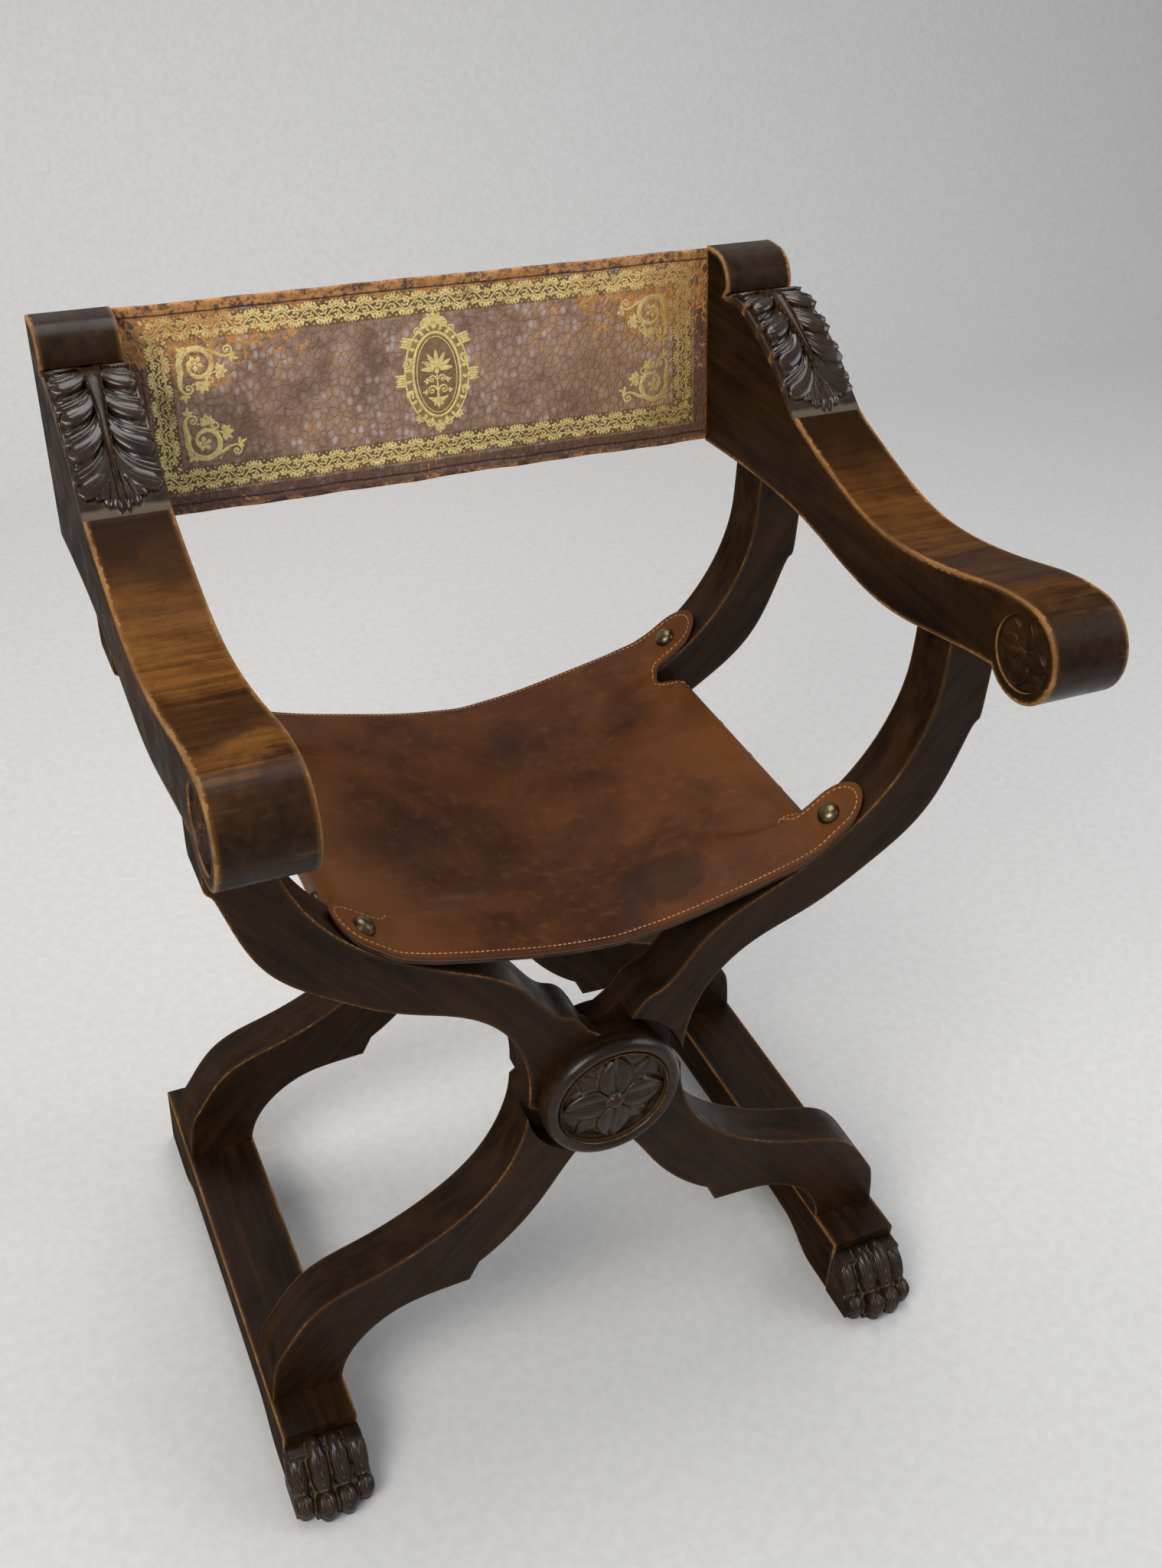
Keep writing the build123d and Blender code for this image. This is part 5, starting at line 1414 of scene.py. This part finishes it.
def nail_head(build, rng, point, outward, radius, lift):
    """Domed head with a soft rim, slightly dented."""
    side = unit(np.cross(outward, [0.3, 1.0, 0.2]))
    other = np.cross(outward, side)
    share = np.linspace(0.12, 1.0, 9)[:-1]
    r = radius * np.concatenate([[0.90, 0.985, 1.0, 0.985], np.cos(share * pi / 2) ** 0.8 * 0.97])
    dome = 0.13 + 0.87 * np.sin(np.linspace(0.06, 1.0, 9) * pi / 2)
    h = radius * 0.70 * np.concatenate([[-0.06, -0.03, 0.05, 0.13], dome])
    sides = 28
    turn, dent = circle(sides), rng.uniform(0, 2 * pi)
    wobble = 1 + 0.018 * np.cos(2 * turn + dent) + 0.01 * np.cos(5 * turn + dent * 2)
    spokes = np.cos(turn)[:, None] * side + np.sin(turn)[:, None] * other
    foot = np.array(point) + outward * lift
    ring = foot + (r[:, None] * wobble)[..., None] * spokes + h[:-1, None, None] * outward
    start = build.add(ring, grid_faces(len(r), sides, wrap=True, flip=True), rim=0.0)
    tip = build.add([foot + outward * h[-1]], [], rim=1.0)
    build.faces += fan_faces(tip, start + (len(r) - 1) * sides, sides)
    build.faces.append([start + i for i in range(sides)])


def seat_nails(build):
    """Five heads on one side of the seat: one on each tab and three along the rail."""
    rng = np.random.default_rng(11)
    low, tab, high = np.interp(TAB_NAIL_X + np.array([-1, 0, 1]), EDGE[:, 0], EDGE[:, 1])
    normal = unit(np.array([low - high, 0, 2.0]))
    for y in TAB_NAILS:
        nail_head(build, rng, (TAB_NAIL_X, y, tab), normal, SEAT_NAIL_R, SEAT_FACES[1] * normal[2] + 0.1)
    for i in (-1, 0, 1):
        point = (RAIL_OUTER_X, MID_Y + i * RAIL_NAIL_PITCH, RAIL_TOP - 14)
        nail_head(build, rng, point, np.array([1.0, 0, 0]), SEAT_NAIL_R, SEAT_FACES[1] + 0.2)


def back_nails(build):
    """Five smaller heads down one side of the back."""
    rng = np.random.default_rng(17)
    slope, outward = np.array([0, sin(RECLINE), cos(RECLINE)]), np.array([0, cos(RECLINE), -sin(RECLINE)])
    for i in range(5):
        point = np.array([BACK_NAIL_X, *BACK_FOOT]) + (PANEL / 2 + (i - 2) * BACK_NAIL_PITCH) * slope
        nail_head(build, rng, point, outward, BACK_NAIL_R, BACK_REAR + 0.2)


def brass():
    m = Nodes("old_brass")
    at = m.place()
    cloud, fine = m.noise(at, 150, 4), m.noise(at, 900, 3)
    color = m.mix(m.ramp(cloud, 0.40, 0.62), (0.090, 0.070, 0.040), (0.165, 0.125, 0.066))
    return m.finish(color=color, roughness=m.ramp(fine, 0.3, 0.7, 0.24, 0.38), metallic=1.0,
                    normal=m.bump(cloud + fine * 0.4, 0.0003, 0.35))


brass_metal = brass()
for side in ("left", "right"):
    for kind, drive in (("seat", seat_nails), ("back", back_nails)):
        heads = Build()
        drive(heads)
        piece = heads.piece(f"{side}_{kind}_nail_heads", 60)
        if side == "left":
            mirror(piece)
        rigid(piece, ARM_BODY[side], f"{side}_{kind}_nails", brass_metal)


# ---- leather finishes --------------------------------------------------------
def thread_finish(name, color):
    m = Nodes(name)
    at = m.place()
    twist = m.node("TexWave", {"Vector": at, "Scale": 900.0, "Distortion": 1.0})
    shade = m.mix(m.ramp(m.noise(at, 60, 3), 0.3, 0.7), color, tuple(c * 0.62 for c in color))
    return m.finish(color=shade, roughness=0.75, normal=m.bump(twist, 0.0002, 0.5))


def seat_finish():
    """Mottled brown hide with a dark stain, paler sides and a dark rim."""
    m = Nodes("seat_hide_tanned")
    at, fu, fv = m.place(), m.attribute("fu"), m.attribute("fv")
    big, mid, small = m.noise(at, 5.5, 5, 0.60, 0.6), m.noise(at, 22, 5, 0.60, 0.4), m.noise(at, 80, 4, 0.6)
    tone = m.ramp(big * 0.72 + mid * 0.28, 0.37, 0.62)
    color = m.mix(tone, (0.030, 0.0084, 0.0024), (0.088, 0.027, 0.0066))
    color = m.mix(m.ramp(small, 0.5, 0.75) * 0.25, color, (0.16, 0.058, 0.018))
    color = m.mix(m.ramp(m.math("ABSOLUTE", fu), 120, 215) * 0.35, color, (0.165, 0.060, 0.014))
    stain = m.length((fu - 62.0) * 0.028, (fv + 112.0) * 0.036) - (mid - 0.5) * 2.6
    color = m.mix(m.ramp(stain, 1.15, 0.7, 0.0, 0.62), color, (0.018, 0.0078, 0.0045))
    color = m.mix(m.ramp(m.attribute("rim"), 2.2, 0.2, 0.0, 0.75), color, (0.060, 0.026, 0.013))
    color = m.mix(m.attribute("under"), color, (0.10, 0.055, 0.030))
    grain, pore = m.cells(at, 720.0, "SMOOTH_F1"), m.noise(at, 1300, 2)
    crease = m.ramp(m.cells(m.stretch(at, (1, 0.35, 1)), 46.0, "DISTANCE_TO_EDGE"), 0.0, 0.06, 1.0, 0.0)
    height = grain * 0.5 + pore * 0.35 - crease * m.ramp(mid, 0.45, 0.7) * 0.7 + small
    return m.finish(color=color, roughness=m.ramp(mid, 0.3, 0.7, 0.42, 0.58),
                    normal=m.bump(height, 0.0005, 0.6), specular=0.08)


def lining_finish():
    m = Nodes("lining_hide_dark")
    at = m.place()
    color = m.mix(m.ramp(m.noise(at, 40, 4), 0.35, 0.65), (0.020, 0.011, 0.007), (0.050, 0.028, 0.016))
    return m.finish(color=color, roughness=0.85, normal=m.bump(m.noise(at, 700, 4, 0.7), 0.0006, 0.8),
                    specular=0.2)


FRAME_LEFT, FRAME_RIGHT, FRAME_LOW, FRAME_HIGH = -246.5, 253.5, 19.5, 166.5      # gilded frame's outline


def back_fields(m, color, fu, fv, small, bare):
    """Tooled fields of the back: dark margin, olive band, and the gilt and brown ovals."""
    to_edge = m.math("MINIMUM", m.math("MINIMUM", FRAME_RIGHT - fu, fu - FRAME_LEFT),
                     m.math("MINIMUM", fv - FRAME_LOW, FRAME_HIGH - fv))
    margin = m.ramp(to_edge, 0.0, -2.5) * (1.0 - bare * 0.8)
    color = m.mix(margin * 0.75, color, (0.075, 0.029, 0.018))
    band = m.ramp(to_edge, -0.6, 0.6) * m.ramp(to_edge, 21.5, 20.3) * (1.0 - bare * 0.75)
    color = m.mix(band * 0.72, color, (0.105, 0.062, 0.022))
    fields = ((29.6, 44.0, (0.20, 0.125, 0.045), (0.36, 0.25, 0.095)),
              (*OVAL, (0.150, 0.088, 0.042), (0.215, 0.140, 0.068)))
    for wide, high, dark, pale in fields:
        oval = m.length((fu - MEDALLION[0]) / wide, (fv - MEDALLION[1]) / high)
        color = m.mix(m.ramp(oval, 1.0, 0.97, 0.0, 0.9), color, m.mix(m.ramp(small, 0.35, 0.65), dark, pale))
    return color


def back_finish():
    """Crackled rosy hide with painted highlights, rubbed bare in its upper corners, with frayed hems and dark
    seams.
    """
    m = Nodes("back_hide_crackled")
    at, fu, fv, rim = m.place(), m.attribute("fu"), m.attribute("fv"), m.attribute("rim")
    big, mid = m.noise(at, 7, 5, 0.62, 0.5), m.noise(at, 26, 5, 0.65, 0.6)
    small = m.noise(at, 130, 5, 0.7, 0.3)
    color = m.mix(m.ramp(mid, 0.33, 0.66), (0.175, 0.098, 0.062), (0.325, 0.198, 0.130))
    color = m.mix(m.ramp(small, 0.48, 0.72, 0.0, 0.45), color, (0.38, 0.245, 0.170))
    color = m.mix(m.ramp(fu, 50, 210, 0.0, 0.4), color, (0.40, 0.22, 0.100))
    drift = m.node("TexNoise", {"Vector": at, "Scale": 60.0}, output=1)
    drift = m.node("VectorMath", {0: drift, "Scale": 0.004}, operation="SCALE")
    bent = m.node("VectorMath", {0: m.stretch(at, (1, 1, 0.75)), 1: drift}, operation="ADD")
    painted_glint_cells, tint, net = (m.cells(bent, 165.0, feature, output, Randomness=0.9)
                        for feature, output in (("SMOOTH_F1", 0), ("F1", 1), ("DISTANCE_TO_EDGE", 0)))
    middle = m.ramp(big * 0.7 + mid * 0.3, 0.42, 0.58, 0.22, 1.0)
    picked = m.ramp(m.node("SeparateColor", {0: tint}), 0.15, 0.85, 0.15, 1.0)
    # Painted highlight: pale lilac on the centres of some crackle cells stands in for light glinting off the
    # raised pebbles.
    color = m.mix(m.ramp(painted_glint_cells, 0.50, 0.16) * middle * picked * 0.60, color, (0.56, 0.49, 0.48))
    color = m.mix(m.ramp(net, 0.10, 0.0) * 0.30, color, (0.075, 0.032, 0.020))
    worn = mid * 0.50 + small * 0.42 + m.ramp(net, 0.30, 0.0, 0.0, 0.13)
    left = m.ramp(fu, -50, -215) * m.ramp(fv, 85, 150)
    right = m.ramp(fu, 85, 200) * m.ramp(fv, 80, 140)
    zone = m.math("MAXIMUM", m.math("MAXIMUM", left, right), m.ramp(fv, 154, 170))
    bare = m.ramp(worn - (0.66 - zone * 0.19), -0.015, 0.035)
    tan = m.mix(m.ramp(small, 0.4, 0.6), (0.36, 0.150, 0.036), (0.52, 0.250, 0.075))
    color = back_fields(m, m.mix(bare * 0.9, color, tan), fu, fv, small, bare)
    hem = m.ramp(rim + (small - 0.5) * 14.0, 5.5, 1.0) * m.ramp(mid, 0.36, 0.6, 0.55, 1.0)
    frayed = m.mix(m.ramp(m.noise(at, 75, 5, 0.7), 0.42, 0.56), (0.045, 0.024, 0.015), (0.46, 0.205, 0.060))
    color = m.mix(hem * 0.92, color, frayed)
    seam = m.ramp(rim, 7.2, 8.2) * m.ramp(rim, 9.8, 8.9)
    color = m.mix(seam * 0.8, color, (0.014, 0.007, 0.004))
    rear = m.mix(m.ramp(mid, 0.3, 0.7), (0.10, 0.045, 0.022), (0.17, 0.082, 0.040))
    color = m.mix(m.attribute("under"), color, rear)
    height = m.ramp(net, 0.0, 0.16) * 0.9 + small * 1.2 - bare * 0.8
    rough = m.math("ADD", m.ramp(mid, 0.3, 0.7, 0.36, 0.50), bare * 0.22, clamp=True)
    return m.finish(color=color, roughness=rough, normal=m.bump(height, 0.0006, 0.7), specular=0.30)


def gold_finish():
    """Gold leaf, worn away most in the back's upper corners."""
    m = Nodes("gold_leaf")
    at, fu, fv = m.place(), m.attribute("fu"), m.attribute("fv")
    mid, small = m.noise(at, 32, 5, 0.65, 0.4), m.noise(at, 420, 4, 0.7)
    left = m.ramp(fu, -70, -190) * m.ramp(fv, 105, 150)
    right = m.ramp(fu, 110, 215) * m.ramp(fv, 95, 145)
    zone = m.math("MAXIMUM", left, right)
    gone = m.ramp(mid * 0.55 + small * 0.45 + zone * 0.075, 0.56, 0.62)
    color = m.mix(m.ramp(small, 0.35, 0.65), (0.62, 0.44, 0.13), (0.92, 0.74, 0.33))
    color = m.mix(m.ramp(fu, 196, 216) * 0.5, color, (0.42, 0.22, 0.040))
    color = m.mix(gone * 0.85, color, m.mix(zone, (0.20, 0.11, 0.045), (0.42, 0.19, 0.055)))
    return m.finish(color=color, roughness=m.ramp(small, 0.3, 0.7, 0.34, 0.55),
                    metallic=m.ramp(gone, 0.0, 1.0, 0.35, 0.0), normal=m.bump(small, 0.0002, 0.6))


set_material(seat, seat_finish())
set_material(lining, lining_finish())
set_material(back, back_finish())
set_material(gilding, gold_finish())
set_material(seat_thread, thread_finish("seat_thread", (0.62, 0.27, 0.095)))
set_material(back_thread, thread_finish("back_thread", (0.075, 0.036, 0.018)))


# ---- carried-over nodes ---------------------------------------------------
def iron():
    m = Nodes("forged_iron")
    at = m.place()
    cloud, fine = m.noise(at, 90, 4, 0.6), m.noise(at, 700, 3)
    color = m.mix(m.ramp(cloud, 0.46, 0.66), (0.028, 0.026, 0.025), (0.095, 0.040, 0.018))
    return m.finish(color=color, roughness=m.ramp(cloud, 0.35, 0.65, 0.42, 0.72),
                    metallic=m.ramp(cloud, 0.5, 0.62, 0.9, 0.25),
                    normal=m.bump(cloud + fine * 0.5, 0.0004, 0.6))


PALE = ((0.20, 0.105, 0.050), (0.36, 0.205, 0.105))
CARRIED = {"rail": wood("walnut_plain", ALONG_Y, 61.0, wear=0.0),
           "dowels": wood("hardwood_plain", ALONG_Y, 66.0, PALE, wear=0.0),
           "pin": iron()}
for node, o in NODES.items():
    if not o.hide_render:
        set_material(o, next((made for word, made in CARRIED.items() if word in node), CARRIED["rail"]))


# ---- stage ---------------------------------------------------------------
def stage():
    """Pale floor that bends up into a wall behind the chair."""
    size, bend, wall_y, wall_top = 6.0, 0.8, 2.6, 5.0
    curve = [(wall_y - bend + bend * sin(a), bend - bend * cos(a)) for a in np.linspace(0, pi / 2, 24)]
    profile = [(-size, 0.0), *curve, (wall_y, wall_top)]
    floor = bpy.data.meshes.new("floor")
    floor.from_pydata([(x, y, z) for y, z in profile for x in (-size, size)], [],
                      [(2 * i, 2 * i + 1, 2 * i + 3, 2 * i + 2) for i in range(len(profile) - 1)])
    shade(floor)
    m = Nodes("floor_paint")
    speck = m.ramp(m.noise(m.place(), 90, 3), 0.3, 0.7)
    o = add_object("floor", floor)
    set_material(o, m.finish(color=m.mix(speck, (0.56, 0.55, 0.53), (0.60, 0.59, 0.57)), roughness=0.8))


def lamp(name, location, target, size, energy, color):
    data = bpy.data.lights.new(name, "AREA")
    data.shape, data.size, data.energy, data.color = "SQUARE", size, energy, color
    o = add_object(name, data)
    o.location, o.rotation_mode = location, "QUATERNION"
    o.rotation_quaternion = (Vector(target) - Vector(location)).to_track_quat("-Z", "Y")


def sky(color, strength):
    world = bpy.data.worlds.new("world")
    bpy.context.scene.world = world
    world.use_nodes = True
    for number, value in enumerate(((*color, 1), strength)):
        world.node_tree.nodes["Background"].inputs[number].default_value = value


def camera():
    """The photo's camera, as solved from the chair's corners."""
    yaw, pitch, roll = radians(25.702), radians(35.198), radians(2.960)
    f = Vector((sin(yaw) * cos(pitch), cos(yaw) * cos(pitch), -sin(pitch)))
    r = Vector((cos(yaw), -sin(yaw), 0))
    u = r.cross(f)
    right, up = cos(roll) * r + sin(roll) * u, -sin(roll) * r + cos(roll) * u
    data = bpy.data.cameras.new("camera")
    data.lens, data.sensor_width, data.sensor_fit = 38.54, 36.0, "AUTO"
    data.clip_start, data.clip_end = 0.05, 50
    o = add_object("camera", data)
    rows = [(right[k], up[k], -f[k], at) for k, at in enumerate((-0.4744, -1.0611, 1.3737))]
    o.matrix_world = Matrix((*rows, (0, 0, 0, 1)))
    bpy.context.scene.camera = o


stage()
lamp("window", (-2.2, -1.6, 2.6), (0, 0, 0.5), 1.8, 92, (1.0, 0.98, 0.95))
lamp("side", (2.4, -0.8, 1.8), (0, 0, 0.4), 1.6, 27, (0.92, 0.95, 1.0))
lamp("over", (0.2, 0.9, 2.8), (0, 0, 0.4), 1.6, 37, (1.0, 0.98, 0.96))
sky((0.86, 0.90, 1.0), 0.43)
camera()
bpy.context.scene.view_settings.view_transform = "Standard"
